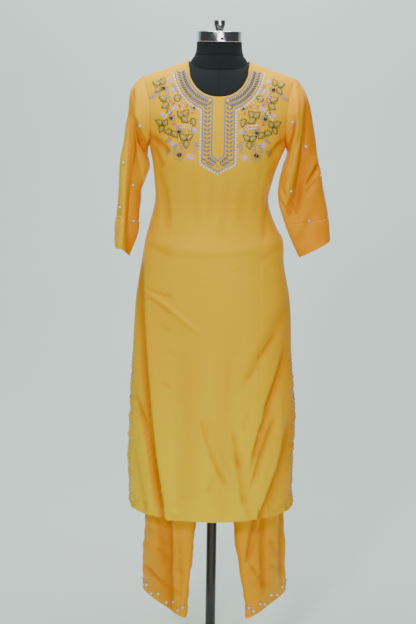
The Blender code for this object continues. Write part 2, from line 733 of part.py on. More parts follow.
def stand(black):
    """The pole from the base up to the torso, its collars, and the round base."""
    socket, socket_height = 0.024, 0.045
    turned(
        "stand_base",
        [
            (0, BASE_THICKNESS),
            (BASE_RADIUS - 0.006, BASE_THICKNESS),
            (BASE_RADIUS, BASE_THICKNESS - 0.004),
            (BASE_RADIUS, 0),
            (0, 0),
        ],
        black,
        steps=48,
    )
    foot = BASE_THICKNESS + SEAM_GAP
    top = FORM_BOTTOM - SEAM_GAP
    turned(
        "stand_pole",
        [(0, top), (POLE_RADIUS, top), (POLE_RADIUS, foot), (0, foot)],
        black,
        steps=32,
    )
    for name, low, high, radius in (
        ("base_socket", foot, foot + socket_height, socket),
        ("top_collar", top - 0.030, top, 0.030),
    ):
        bore = POLE_RADIUS + SEAM_GAP
        side = [(radius - 0.002, high), (radius, high - 0.002), (radius, low)]
        turned(name, [(bore, high), *side, (bore, low)], black, steps=32)


def start():
    for obj in list(bpy.data.objects):
        bpy.data.objects.remove(obj)
    for name in ("salwar_kameez_suit", "tools"):
        made = bpy.data.collections.new(name)
        bpy.context.scene.collection.children.link(made)


def main():
    start()
    silk = material("yellow_silk", (0.93, 0.50, 0.010), 0.45)
    trouser_silk = material("trouser_silk", (0.92, 0.40, 0.008), 0.45)
    jersey = material("black_jersey", (0.020, 0.024, 0.026), 0.75)
    chrome = material("chrome", (0.80, 0.80, 0.80), 0.12, 1.0)
    black = material("black_paint", (0.010, 0.010, 0.011), 0.30)
    front_centre(silk)
    for name, s in SIDES.items():
        front_side(name, s, silk)
    back(silk)
    for name in SIDES:
        sleeve(name, silk)
        leg(name, -1, trouser_silk)
        leg(name, 1, trouser_silk)
    waistband(trouser_silk)
    form_torso(jersey)
    form_cap(chrome)
    stand(black)


main()
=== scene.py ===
import math
from types import SimpleNamespace

import bpy
import numpy as np
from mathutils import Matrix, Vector


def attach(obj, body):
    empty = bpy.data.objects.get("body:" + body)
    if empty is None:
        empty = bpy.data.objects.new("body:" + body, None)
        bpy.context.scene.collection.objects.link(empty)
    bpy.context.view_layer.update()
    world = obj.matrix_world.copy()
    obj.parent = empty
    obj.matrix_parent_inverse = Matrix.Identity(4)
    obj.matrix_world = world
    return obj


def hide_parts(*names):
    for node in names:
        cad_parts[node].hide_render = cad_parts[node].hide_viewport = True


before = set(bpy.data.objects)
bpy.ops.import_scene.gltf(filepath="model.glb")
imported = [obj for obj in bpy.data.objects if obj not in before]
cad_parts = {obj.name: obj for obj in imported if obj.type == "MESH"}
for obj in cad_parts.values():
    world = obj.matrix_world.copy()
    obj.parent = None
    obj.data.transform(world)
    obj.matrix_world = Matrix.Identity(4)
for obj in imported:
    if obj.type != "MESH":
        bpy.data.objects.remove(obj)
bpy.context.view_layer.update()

# The view: a standing photographer about 3 m in front of the suit, with a short telephoto lens,
# looking a little down and with the horizon not quite level.

EYE = (-0.018, -3.00, 1.66)
LENS, SENSOR_WIDTH = 70, 36
LOOK_DOWN = math.radians(13.0)
ROLL = math.radians(0.84)

camera = bpy.data.objects.new("camera", bpy.data.cameras.new("camera"))
camera.data.lens = LENS
camera.data.sensor_width = SENSOR_WIDTH
camera.location = EYE
look = Vector((0, math.cos(LOOK_DOWN), -math.sin(LOOK_DOWN)))
turn = look.to_track_quat("-Z", "Y").to_matrix().to_4x4()
camera.rotation_euler = (turn @ turn.Rotation(ROLL, 4, "Z")).to_euler()
bpy.context.scene.collection.objects.link(camera)
bpy.context.scene.camera = camera

# The room: a plain pale backdrop that curves up from the floor, and light from a window behind and
# above the camera, with a weak one low in front, one from overhead and one on the wall. One more
# stands for the bright room behind the camera, and shows only in what is glossy.


class Ink:
    """A socket in a material: operators on it add Math nodes, and node() adds any other node."""

    def __init__(self, tree, socket=None):
        self.tree = tree
        self.socket = socket

    def node(self, kind, inputs, output=0, **settings):
        made = self.tree.nodes.new(kind)
        for key, value in settings.items():
            setattr(made, key, value)
        for key, value in inputs.items():
            if isinstance(value, Ink):
                self.tree.links.new(value.socket, made.inputs[key])
            else:
                made.inputs[key].default_value = value
        return Ink(self.tree, made.outputs[output])

    def math(self, operation, first, second):
        return self.node("ShaderNodeMath", {0: first, 1: second}, operation=operation)

    def __add__(self, other):
        return self.math("ADD", self, other)

    def __sub__(self, other):
        return self.math("SUBTRACT", self, other)

    def __rsub__(self, other):
        return self.math("SUBTRACT", other, self)

    def __mul__(self, other):
        return self.math("MULTIPLY", self, other)

    __radd__ = __add__
    __rmul__ = __mul__

    def mix(self, first, second):
        """Colour between first and second, by this factor."""
        first, second = (c if isinstance(c, Ink) else (*c, 1) for c in (first, second))
        return self.node("ShaderNodeMix", {0: self, 6: first, 7: second}, 2, data_type="RGBA")

    def into(self, shader, name):
        self.tree.links.new(self.socket, shader.inputs[name])


def material(name, colour, roughness, **constants):
    """A new material, its Ink and its shader. Constants are sockets, with _ for a space."""
    made = bpy.data.materials.new(name)
    made.use_nodes = True
    shader = made.node_tree.nodes["Principled BSDF"]
    constants.update(Base_Color=colour, Roughness=roughness)
    for key, value in constants.items():
        value = (*value, 1) if isinstance(value, tuple) else value
        shader.inputs[key.replace("_", " ")].default_value = value
    return made, Ink(made.node_tree), shader


def noise(ink, scale, detail):
    """Noise in the object's own coordinates, stretched by a scale for each axis."""
    place = ink.node("ShaderNodeTexCoord", {}, 3)
    place = ink.node("ShaderNodeVectorMath", {0: place, 1: scale}, operation="MULTIPLY")
    return ink.node("ShaderNodeTexNoise", {"Vector": place, "Scale": 1.0, "Detail": detail})


def shape(name, points, faces, finish):
    """A smooth mesh in the scene, in one material."""
    mesh = bpy.data.meshes.new(name)
    mesh.from_pydata(points, [], faces)
    mesh.shade_smooth()
    mesh.materials.append(finish)
    made = bpy.data.objects.new(name, mesh)
    bpy.context.scene.collection.objects.link(made)
    return made


WALL_WIDTH, WALL_PLACE, WALL_TOP, BEND, FLOOR_FRONT = 16.0, 2.6, 6.0, 1.4, -6.0
plaster, ink, shader = material("backdrop", (0.76, 0.88, 0.84), 0.9, Specular_IOR_Level=0.1)
noise(ink, (3, 3, 3), 4).mix((0.74, 0.86, 0.82), (0.78, 0.90, 0.86)).into(shader, "Base Color")
(1 - ink.node("ShaderNodeNewGeometry", {}, 6)).into(shader, "Alpha")  # clear from behind
run = [(FLOOR_FRONT, 0.0)]
for angle in np.linspace(0, math.pi / 2, 25):
    run.append((WALL_PLACE - BEND + BEND * math.sin(angle), BEND - BEND * math.cos(angle)))
run.append((WALL_PLACE, WALL_TOP))
points = [(x * WALL_WIDTH / 2, y, z) for y, z in run for x in (-1, 1)]
faces = [(2 * k, 2 * k + 1, 2 * k + 3, 2 * k + 2) for k in range(len(run) - 1)]
shape("backdrop", points, faces, plaster)

world = bpy.data.worlds.new("room")
world.use_nodes = True
sky = world.node_tree.nodes["Background"].inputs
sky["Color"].default_value = (0.80, 0.86, 0.88, 1)
sky["Strength"].default_value = 0.07
bpy.context.scene.world = world

LIGHTS = {
    # place, what it is turned to, size in metres, power in watts, colour
    "window": ((-1.1, -3.1, 2.8), (0, 0, 1.1), 0.6, 64, (1.0, 0.98, 0.95)),
    "low": ((1.0, -2.8, 0.8), (0, 0, 0.4), 0.8, 24, (1.0, 0.98, 0.95)),
    "top": ((0.2, 0.9, 3.4), (0, 0, 1.0), 2.5, 8, (1.0, 1.0, 1.0)),
    "wall": ((0.0, 0.3, 3.6), (0, 2.6, 0.9), 2.5, 125, (0.97, 1.0, 1.0)),
    "room": ((0.3, -3.6, 1.5), (0, 0, 1.6), 1.8, 40, (1.0, 0.99, 0.97)),
}
for name, (place, aim, size, power, colour) in LIGHTS.items():
    lamp = bpy.data.lights.new(name, "AREA")
    lamp.shape = "DISK"
    lamp.size = size
    lamp.energy = power
    lamp.color = colour
    light = bpy.data.objects.new(name, lamp)
    light.location = place
    light.rotation_euler = (Vector(aim) - light.location).to_track_quat("-Z", "Y").to_euler()
    light.visible_diffuse = name != "room"
    bpy.context.scene.collection.objects.link(light)

# The body of the kameez, in yellow slub silk: a middle front with the round neck, two side fronts
# cut to the bust along the princess seams, and a back in one piece. It hangs from the shoulders
# of the form, catches on the hips, and is open at the sides below them.

GAP = 0.0003  # between neighbouring pieces
HEM, HEM_DEPTH, TURNED_IN = 0.455, 0.022, 0.0005
SLIT_TOP, SLIT_OPENING = 1.000, 0.007
ARMPIT, ARMPIT_HALF = 1.387, 0.168
SHOULDER_TIP, SHOULDER_HALF = 1.553, 0.184
NECK_POINT, NECK_HALF = 1.592, 0.072
SEAM_AT_ARMPIT, SEAM_AT_SHOULDER, YOKE_SEAM_TOP = 0.105, 0.115, 0.0905
SILK_THICKNESS = 0.0009
NECKLINE = SimpleNamespace(half=0.0740, depth=0.081, squareness=2.2, back_drop=0.018)
BUST = SimpleNamespace(x=0.086, z=1.352, reach=0.046, height=0.006)
SIDES = {"left": -1, "right": 1}


def ease(t):
    """0 below 0, 1 above 1, smooth between."""
    t = np.clip(t, 0.0, 1.0)
    return t * t * (3 - 2 * t)


def mix(a, b, t):
    return a + (b - a) * t


def bell(t):
    """1 at 0, falling off to nothing on both sides."""
    return np.exp(-(t**2))


def unit(way):
    return way / np.linalg.norm(way, axis=-1, keepdims=True)


def square_to(surface, u, v, step):
    """Unit normal of a surface of u and v."""
    across = surface(u + step, v) - surface(u - step, v)
    return unit(np.cross(across, surface(u, v + step) - surface(u, v - step)))


def spread_out(first, second):
    """Both as arrays of the same shape."""
    return np.broadcast_arrays(np.asarray(first, float), np.asarray(second, float))


class Sections:
    """Rows of named columns, read at any value of the first column on a smooth curve. They are in
    millimetres, but for the first column where it is a share."""

    def __init__(self, names, *rows):
        self.names = names.split()
        self.rows = np.array(sorted(rows), dtype=float)
        self.rows[:, 0 if self.names[0] == "z" else 1 :] /= 1000
        keys = self.rows[:, 0]
        low = np.maximum(np.arange(len(keys)) - 1, 0)
        high = np.minimum(np.arange(len(keys)) + 1, len(keys) - 1)
        self.slopes = (self.rows[high] - self.rows[low]) / (keys[high] - keys[low])[:, None]

    def at(self, key):
        keys = self.rows[:, 0]
        key = np.clip(key, keys[0], keys[-1])
        i = np.clip(np.searchsorted(keys, key, side="right") - 1, 0, len(keys) - 2)
        span = (keys[i + 1] - keys[i])[..., None]
        t = (key - keys[i])[..., None] / span
        found = self.rows[i] * (1 + 2 * t) * (1 - t) ** 2 + self.rows[i + 1] * t * t * (3 - 2 * t)
        found += span * (self.slopes[i] * t * (1 - t) ** 2 - self.slopes[i + 1] * t * t * (1 - t))
        return SimpleNamespace(**{name: found[..., k] for k, name in enumerate(self.names)})


class Trunk:
    """A torso-shaped surface: its sections up to the armpit, then a yoke over the shoulders.

    f is the place across, from -1 at the left edge to 1 at the right. level is the height under
    the armpit in metres, negative, and above it the share of the way to the shoulder line.
    """

    def __init__(self, sections, armpit_half, shoulder_half, drop, chest, upper_back, arm_depth):
        self.sections = sections
        self.armpit_half = armpit_half
        self.shoulder_half = shoulder_half
        self.drop = drop
        self.depths = {-1: chest, 1: upper_back}
        self.arm_depth = arm_depth

    def shoulder_line(self, x):
        share = np.maximum(np.abs(x) - NECK_HALF, 0) / (SHOULDER_HALF - NECK_HALF)
        return NECK_POINT - self.drop - (NECK_POINT - SHOULDER_TIP) * share

    def edge_half(self, v):
        return mix(self.armpit_half, self.shoulder_half, v * v) - 0.008 * np.sin(np.pi * v)

    def spread(self, v):
        return np.radians(90 - 38 * ease(v / 0.4))

    def find(self, x, z):
        """f and level of a point of the front view."""
        x, z = spread_out(x, z)
        row = self.sections.at(z)
        below = np.arcsin(np.clip((x - row.centre) / row.half, -1, 1)) * 2 / np.pi
        v = np.clip((z - ARMPIT) / (self.shoulder_line(x) - ARMPIT), 0, 1)
        arc = self.spread(v)
        above = np.arcsin(np.clip(x / self.edge_half(v), -1, 1) * np.sin(arc)) / arc
        return np.where(z > ARMPIT, above, below), np.where(z > ARMPIT, v, z - ARMPIT)

    def point(self, f, level, side):
        f, level = spread_out(f, level)
        row = self.sections.at(ARMPIT + level)
        angle = f * np.pi / 2
        lower_y = side * (row.front if side < 0 else row.back) * np.cos(angle)
        lower = np.stack([row.centre + row.half * np.sin(angle), lower_y, ARMPIT + level], -1)
        v = np.clip(level, 0, 1)
        arc = self.spread(v)
        x = self.edge_half(v) * np.sin(f * arc) / np.sin(arc)
        roundness = 4 + 10 * (1 - ease(np.abs(x) / 0.1)) if side < 0 else 8
        roll = np.sqrt(np.clip(1 - v**roundness, 0, 1))
        edge = self.arm_depth * ease(v / 0.5) ** 0.6
        arch = (np.cos(f * arc) - np.cos(arc)) / (1 - np.cos(arc))
        depth = self.depths[side].at(v).depth * (edge + (1 - edge) * arch) * roll
        upper = np.stack([x, side * depth, ARMPIT + (self.shoulder_line(x) - ARMPIT) * v], -1)
        return np.where((level > 0)[..., None], upper, lower)

    def out(self, f, level, side):
        """Unit normal, away from the body."""
        return -side * square_to(lambda u, v: self.point(u, v, side), f, level, 0.002)


kameez = Trunk(
    Sections(
        "z centre half front back",
        (455, -4, 213, 140, 128),
        (585, -6, 215, 136, 126),
        (715, -3, 213, 132, 124),
        (845, -6, 204, 128, 122),
        (1000, -6, 195, 124, 120),
        (1095, -8, 179, 119, 117),
        (1155, -5, 172, 113, 111),
        (1190, -10, 158, 104, 102),
        (1250, -13, 141, 99, 89),
        (1305, -9, 147, 109, 87),
        (1345, -5, 155, 115, 90),
        (1387, 0, 168, 114, 92),
    ),
    ARMPIT_HALF,
    SHOULDER_HALF,
    drop=0.0,
    chest=Sections("v depth", (0, 114), (0.12, 112.8), (0.3, 107), (0.6, 90), (0.8, 77), (1, 66)),
    upper_back=Sections("v depth", (0, 92), (0.4, 98), (0.9, 96), (1, 92)),
    arm_depth=0.60,
)
princess_seam = Sections("z x", (455, 120), (900, 112), (1100, 107), (1260, 100), (1387, 105))

# Folds, in millimetres. Each runs from x0, z0 to x1, z1 of the front view, bowed sideways at its
# middle. left and right are its reach to either side, and depth is how far it sinks, less than
# nothing for a ridge.
FRONT_FOLDS = [
    # x0, z0, x1, z1, left, right, depth, bow
    # the deep pleat from the left hip to the hem, and the edge that stands proud beside it
    (-186, 1120, -168, 780, 12, 6, 10, -3),
    (-172, 860, -126, 464, 11, 5, 26, -8),
    (-150, 600, -124, 470, 16, 6, 8, 0),
    (-173, 1110, -110, 430, 5, 24, -7, -13),
    (-196, 760, -142, 520, 6, 5, 11, 4),
    (-203, 640, -168, 440, 9, 7, 3, 0),
    # drag lines from the left hip
    (-178, 1045, -112, 1030, 5.5, 3, 2.8, -2),
    (-178, 1038, -48, 950, 4.5, 7, -4.2, 4),
    (-172, 1022, -110, 985, 3, 6, 2.6, 3),
    (-136, 955, -112, 944, 4, 4, 1.4, 0),
    (-110, 892, -98, 880, 4, 4, 1.2, 0),
    (-132, 810, -108, 798, 4, 4, 1.4, 0),
    # slanting folds down to the right hem
    (178, 880, 100, 600, 6, 14, 9, -4),
    (160, 820, 126, 740, 5, 7, 4, 0),
    (152, 720, 100, 550, 5, 11, 7, 0),
    (120, 700, 100, 620, 6, 6, 3, 0),
    (190, 700, 108, 430, 5.5, 20, 10, 12),
    (170, 760, 160, 560, 12, 8, -4, 4),
    (188, 1012, 74, 810, 14, 16, 4, 0),
    (148, 930, 108, 872, 5, 9, 3, 0),
    (180, 930, 160, 820, 6, 8, 3, 2),
    (110, 860, 82, 825, 5, 6, 1.6, 0),
    (86, 740, 74, 690, 5, 8, 1.2, 0),
    # soft folds in the middle of the skirt
    (-34, 724, 30, 556, 6, 22, 4.6, -5),
    (-12, 690, 44, 560, 12, 8, -2.6, -5),
    (6, 582, -16, 532, 6, 11, 1.8, 0),
    (48, 690, 66, 590, 6, 8, 3.5, 0),
    (-70, 900, -78, 470, 24, 30, 3, 6),
    (40, 960, 28, 480, 26, 22, 2.6, -6),
    (76, 520, 104, 440, 8, 14, 3, 0),
    (52, 640, 78, 500, 7, 18, 4.4, 4),
    # the waistband that shows through, and its dips at the sides
    (165, 1166, -175, 1156, 12, 8, -2.2, 20),
    (-172, 1150, -112, 1128, 8, 14, 2.4, 0),
    (172, 1150, 110, 1120, 12, 8, 2.2, 0),
    (36, 1096, 60, 1100, 3, 3, 1, 0),
    # pulls under the arms and over the waist
    (-150, 1350, -122, 1190, 8, 12, 3.6, 4),
    (-128, 1300, -116, 1210, 5, 7, 2, 0),
    (140, 1360, 116, 1170, 10, 8, 4, 0),
    (-172, 1416, -120, 1378, 12, 7, 8.5, 4),
    (-160, 1392, -134, 1340, 9, 9, 5, 0),
    (172, 1416, 124, 1370, 6, 11, 7, -4),
    (-60, 1330, -48, 1200, 14, 12, 1.6, 2),
    (-10, 1320, -22, 1220, 12, 10, 1.4, 0),
    (28, 1330, 14, 1180, 12, 14, 1.6, 0),
    (70, 1320, 58, 1210, 10, 12, 1.6, -2),
]
BACK_FOLDS = [
    (-160, 1060, -120, 440, 20, 16, 16, 6),
    (166, 1020, 126, 440, 16, 22, 18, -6),
    (-50, 980, -62, 440, 24, 18, 10, 0),
    (52, 1000, 46, 440, 18, 26, 11, 4),
    (-120, 1220, 120, 1214, 14, 12, 4, -6),
    (-180, 1080, -90, 950, 12, 10, 4, 6),
    (180, 1060, 80, 900, 10, 14, 4, -4),
    (-80, 1380, -70, 1240, 16, 12, 3, 0),
    (84, 1400, 70, 1250, 12, 16, 3, 0),
    (0, 760, 16, 470, 12, 16, 5, 0),
]


def sunk(folds, x, z):
    """How far all the folds sink the cloth at points of the front view."""
    total = np.zeros(np.shape(x))
    for fold in folds:
        x0, z0, x1, z1, left, right, depth, bow = (number / 1000 for number in fold)
        dx, dz = x1 - x0, z1 - z0
        length = math.hypot(dx, dz)
        along = ((x - x0) * dx + (z - z0) * dz) / length**2
        t = np.clip(along, 0, 1)
        across = ((z - z0) * dx - (x - x0) * dz) / length - bow * 4 * t * (1 - t)
        fade = ease((along + 0.15) / 0.4) * ease((1.15 - along) / 0.3)
        total += depth * fade * bell(across / np.where(across > 0, right, left))
    return total


def crumple(x, z, seed, width, height):
    """A smooth random field from -1 to 1, its bumps width by height."""
    lattice = np.random.default_rng(seed).uniform(-1, 1, (64, 64))
    u, v = x / width + 32, z / height + 32
    i, j = np.floor(u).astype(int), np.floor(v).astype(int)
    du, dv = ease(u - i), ease(v - j)
    low = mix(lattice[i % 64, j % 64], lattice[(i + 1) % 64, j % 64], du)
    high = mix(lattice[i % 64, (j + 1) % 64], lattice[(i + 1) % 64, (j + 1) % 64], du)
    return mix(low, high, dv)


def seam_line(level, z):
    """How far the princess seams lie from the middle."""
    v = np.clip(level, 0, 1)
    start = np.arcsin(SEAM_AT_ARMPIT / ARMPIT_HALF) * 2 / np.pi
    end = np.arcsin(YOKE_SEAM_TOP / SHOULDER_HALF) * 2 / np.pi
    arc = kameez.spread(v)
    above = kameez.edge_half(v) * np.sin(mix(start, end, v) * arc) / np.sin(arc)
    return np.where(level > 0, above, princess_seam.at(z).x)


def kameez_skin(f, level, side):
    """The outer face of the kameez: the trunk with its bust, folds and hem."""
    base = kameez.point(f, level, side)
    x, z = base[..., 0], base[..., 2]
    open_share = np.clip((SLIT_TOP - z) / (SLIT_TOP - HEM), 0, 1)
    base[..., 1] += side * SLIT_OPENING * open_share * np.abs(f) ** 8
    sink = sunk(FRONT_FOLDS if side < 0 else BACK_FOLDS, x, z)
    skirt = ease((1.15 - z) / 0.5)
    sink += 0.0012 * skirt * crumple(x + 0.05 * z, z, 3 + side, 0.028, 0.170)
    sink += 0.0005 * crumple(x, z, 11 + side, 0.018, 0.040) * (0.4 + skirt)
    if side < 0:
        sink -= BUST.height * np.exp(-((np.abs(x) - BUST.x) ** 2 + (z - BUST.z) ** 2) / BUST.reach**2)
        seam = np.abs(x) - seam_line(level, z)
        sink += 0.0004 * bell(seam / 0.0040) * np.where(x > 0, 1.0, 0.2)
    sink *= 1 - 0.8 * ease((np.abs(f) - 0.80) / 0.18)
    # the whipped edges of the slits and the corners of the hem pucker
    edge = ease((0.86 - z) / 0.1) * np.abs(f) ** 24
    base[..., 0] += 0.0022 * edge * np.sign(f) * crumple(z, z, 31 + side, 0.012, 0.020)
    slit = ease((0.90 - z) / 0.2) * ease((np.abs(f) - 0.62) / 0.22)
    corner = ease((HEM + 0.060 - z) / 0.045) * ease((np.abs(x) - 0.06) / 0.06)
    sink += np.maximum(0.0026 * slit, 0.0046 * corner) * crumple(x * 1.2, z, 7, 0.013, 0.015)
    sink += 0.0006 * ease((HEM + 0.012 - z) / 0.006) * crumple(x, z, 8, 0.012, 0.020)
    sink -= TURNED_IN * ease((HEM + HEM_DEPTH - z) / 0.0015)
    sink *= 1 - ease((level - 0.90) / 0.08)
    return base - kameez.out(f, level, side) * sink[..., None]


def hollow(grid, around):
    """How far each point of a grid lies below the cloth round it."""
    smooth = grid
    for _ in range(6):
        sides = np.pad(smooth, ((0, 0), (1, 1), (0, 0)), "wrap" if around else "edge")
        smooth = (sides[:, :-2] + 2 * smooth + sides[:, 2:]) / 4
        ends = np.pad(smooth, ((1, 1), (0, 0), (0, 0)), "edge")
        smooth = (ends[:-2] + 2 * smooth + ends[2:]) / 4
    normal = np.cross(np.gradient(grid, axis=1), np.gradient(grid, axis=0))
    normal /= np.linalg.norm(normal, axis=-1, keepdims=True) + 1e-12
    return ((smooth - grid) * normal).sum(axis=-1)


def grid_faces(grid, around):
    """Faces of a grid of points: rows upwards and columns anticlockwise from above."""
    index = np.arange(grid.shape[0] * grid.shape[1]).reshape(grid.shape[:2])
    if around:
        index = np.concatenate([index, index[:, :1]], axis=1)
    faces = np.stack([index[:-1, :-1], index[:-1, 1:], index[1:, 1:], index[1:, :-1]], -1)
    return faces.reshape(-1, 4).tolist()


def cloth(name, grid, finish, folds=(), around=False, thickness=SILK_THICKNESS):
    """A cloth piece from a grid of its outer face. How deep each point lies in the folds is kept
    on the mesh, for the shade that the silk's colour paints into its folds."""
    # painted shade for the silk's colour, from how deep each point lies in the folds and hollows
    painted_fold_shade = sunk(folds, grid[..., 0], grid[..., 2]) / 0.012
    if around:
        painted_fold_shade *= grid[..., 1] < grid[..., 1].mean(axis=1, keepdims=True)
    painted_fold_shade = np.clip(painted_fold_shade, 0, 0.8) + np.clip(hollow(grid, around) / 0.004, 0, 0.4)
    painted_fold_shade = np.clip(painted_fold_shade, 0, 1).ravel()
    piece = shape(name, grid.reshape(-1, 3).tolist(), grid_faces(grid, around), finish)
    piece.data.attributes.new("painted_fold_shade", "FLOAT", "POINT").data.foreach_set("value", painted_fold_shade)
    wall = piece.modifiers.new("wall", "SOLIDIFY")
    wall.thickness = thickness
    wall.offset = -1
    piece.modifiers.new("even_light", "WEIGHTED_NORMAL").weight = 100
    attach(piece, "root")
    return piece


def silk(name, lit, deep, low, far, fold):
    """Slub silk: fine uneven threads across, a faint weave, and a soft sheen. Light and shade are
    painted into its colour: it turns to low further down, painted light and shade that change with
    height, to far towards the right sleeve as painted shade, and to fold in the folds as painted
    shade."""
    sheen = {"Sheen_Weight": 0.06, "Sheen_Roughness": 0.35, "Sheen_Tint": (1.0, 0.55, 0.02)}
    gloss = {"IOR": 1.25, "Specular_Tint": (1.0, 0.60, 0.05)}
    made, ink, shader = material(name, lit, 0.46, **sheen, **gloss)
    slub = noise(ink, (14, 14, 900), 3)
    thread = noise(ink, (60, 60, 2600), 1)
    warp = noise(ink, (2200, 2200, 30), 1)
    cloud = noise(ink, (9, 9, 9), 3)
    streak = (slub - 0.5) * 1.6 + (cloud - 0.5) * 0.9 + 0.5
    shade = ink.node("ShaderNodeClamp", {0: streak}).mix(deep, lit)
    shares = []
    # painted light and shade: down is the share lower on the piece and side the share towards the
    # right, where the colour turns to low and to far
    for axis, start, end in ((2, 0.98, 0.56), (0, 0.10, 0.27)):
        here = {0: ink.node("ShaderNodeTexCoord", {}, 3)}
        here = ink.node("ShaderNodeSeparateXYZ", here, axis)
        reach = {"Value": here, "From Min": start, "From Max": end}
        shares.append(ink.node("ShaderNodeMapRange", reach, interpolation_type="SMOOTHSTEP"))
    down, side = shares
    shade = side.mix((down * 0.8).mix(shade, low), far)
    # painted shade: the fold colour darkens the silk by how deep the cloth lies in its folds
    painted_fold_shade = ink.node("ShaderNodeAttribute", {}, 2, attribute_name="painted_fold_shade")
    (painted_fold_shade * 0.8).mix(shade, fold).into(shader, "Base Color")
    (0.40 + (slub - 0.5) * 0.25).into(shader, "Roughness")
    height = slub * 0.5 + thread * 0.35 + warp * 0.25
    relief = {"Strength": 0.35, "Distance": 0.0004, "Height": height}
    ink.node("ShaderNodeBump", relief).into(shader, "Normal")
    return made


# low is painted light down the skirt, far painted shade towards the right sleeve, and fold painted
# shade in the folds
kameez_silk = silk(
    "kameez_silk",
    lit=(0.95, 0.545, 0.0),
    deep=(0.93, 0.47, 0.0),
    low=(0.95, 0.65, 0.0),
    far=(0.88, 0.29, 0.0),
    fold=(0.70, 0.20, 0.0),
)

SKIRT_STEP, YOKE_ROWS = 0.0042, 50
skirt_levels = np.linspace(HEM - ARMPIT, 0, round((ARMPIT - HEM) / SKIRT_STEP) + 1)
yoke_levels = (1 - np.cos(np.pi * np.arange(1, YOKE_ROWS + 1) / YOKE_ROWS)) / 2


def body_panel(side, first, last, top, shares=None):
    """Grid of a body panel. first and last are its edges' f below the armpit, and top its f and
    level points along the shoulder and neck. shares are its columns' places below."""
    if shares is None:
        shares = np.linspace(0, 1, len(top))
    first, last = (edge + 0 * skirt_levels[:, None] for edge in (first, last))
    below = mix(first, last, shares)
    f = mix(below[-1], top[:, 0], yoke_levels[:, None])
    lower = kameez_skin(below, skirt_levels[:, None] + 0 * below, side)
    grid = np.concatenate([lower, kameez_skin(f, yoke_levels[:, None] * top[:, 1], side)])
    grid[..., 1] += side * GAP
    return grid


def seam_place(s):
    """f of the princess seam below the armpit, on one side."""
    row = kameez.sections.at(ARMPIT + skirt_levels)
    x = s * princess_seam.at(ARMPIT + skirt_levels).x
    return (np.arcsin((x - row.centre) / row.half) * 2 / np.pi)[:, None]


def neck_curve(angle, half, depth):
    """x and z along a neckline that starts at the left neck point, at angle 0, as a squarish U."""
    power = 2 / NECKLINE.squareness
    c, d = np.cos(angle), np.sin(angle)
    return -half * np.sign(c) * np.abs(c) ** power, NECK_POINT - depth * np.abs(d) ** power


def top_edge(outer, half, depth, shoulder_count, neck_count, neck_share):
    """The top of a panel with a neckline, as f and level points, and its columns' places below,
    where the neck's columns take up neck_share of the width."""
    x = np.linspace(-outer, -half, shoulder_count + 1)[:-1]
    shoulder = np.stack(kameez.find(x, kameez.shoulder_line(x)), -1)
    x, z = neck_curve(np.linspace(0, np.pi, neck_count), half, depth)
    curve = np.stack(kameez.find(x, z), -1)
    side = np.linspace(0, (1 - neck_share) / 2, shoulder_count + 1)[:-1]
    middle = np.linspace((1 - neck_share) / 2, (1 + neck_share) / 2, neck_count)
    top = np.concatenate([shoulder, curve, shoulder[::-1] * (-1, 1)])
    return top, np.concatenate([side, middle, 1 - side[::-1]])


middle_top, middle_shares = top_edge(SEAM_AT_SHOULDER, NECKLINE.half, NECKLINE.depth, 16, 73, 0.76)
back_top, back_shares = top_edge(SHOULDER_HALF, NECK_HALF, NECKLINE.back_drop, 32, 45, 0.46)
seam_f = float(kameez.find(SEAM_AT_SHOULDER, kameez.shoulder_line(SEAM_AT_SHOULDER))[0])
side_top = np.stack([np.linspace(seam_f, 1, 40), np.ones(40)], -1)
left_seam, right_seam = seam_place(-1), seam_place(1)
PANELS = {
    # what body_panel takes, flat size, area
    "front_centre": ((-1, left_seam, right_seam, middle_top, middle_shares), (0.26, 1.14), 0.262),
    "front_left": ((-1, -1.0, left_seam, side_top[::-1] * (-1, 1)), (0.16, 1.13), 0.160),
    "front_right": ((-1, right_seam, 1.0, side_top), (0.16, 1.13), 0.160),
    "back": ((1, 1.0, -1.0, back_top[::-1], back_shares), (0.52, 1.14), 0.52),
}
for name, (cut, flat, area) in PANELS.items():
    folds = FRONT_FOLDS if cut[0] < 0 else BACK_FOLDS
    panel = cloth(f"silk_{name}", body_panel(*cut), kameez_silk, folds)
    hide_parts(f"kameez_{name}")

# The sleeves, in the same silk: each a three-quarter tube set into the armhole, with a deep
# turned hem at the cuff. They hang with nothing inside, so they fold flat down their length.

sleeve_rows = {
    "left": Sections(
        "t outer_x outer_z inner_x inner_z front back y",
        (0, 184, 1553, 168, 1387, 54, 56, 0),
        (0.08, 199, 1541, 171, 1377, 58, 60, 0),
        (0.18, 214, 1517, 173, 1364, 62, 62, 0),
        (0.3, 220, 1470, 169, 1346, 64, 64, -2),
        (0.42, 227, 1425, 166, 1330, 64, 62, -4),
        (0.55, 238, 1360, 175, 1303, 61, 59, -8),
        (0.68, 243, 1295, 187, 1270, 56, 55, -12),
        (0.8, 247, 1230, 190, 1222, 51, 51, -16),
        (0.9, 252, 1182, 194, 1170, 47, 47, -20),
        (1, 252, 1140, 216, 1114, 44, 44, -24),
    ),
    "right": Sections(
        "t outer_x outer_z inner_x inner_z front back y",
        (0, 184, 1553, 168, 1387, 54, 56, 0),
        (0.08, 200, 1540, 170, 1378, 57, 60, 0),
        (0.18, 215, 1512, 170, 1366, 59, 62, 0),
        (0.3, 226, 1475, 166, 1352, 59, 60, -2),
        (0.42, 234, 1435, 159, 1335, 56, 56, -4),
        (0.55, 246, 1370, 152, 1300, 50, 50, -8),
        (0.68, 260, 1300, 152, 1262, 42, 42, -12),
        (0.8, 274, 1235, 162, 1215, 34, 34, -16),
        (0.9, 279, 1194, 180, 1170, 32, 32, -20),
        (1, 281, 1160, 206, 1116, 34, 34, -24),
    ),
}
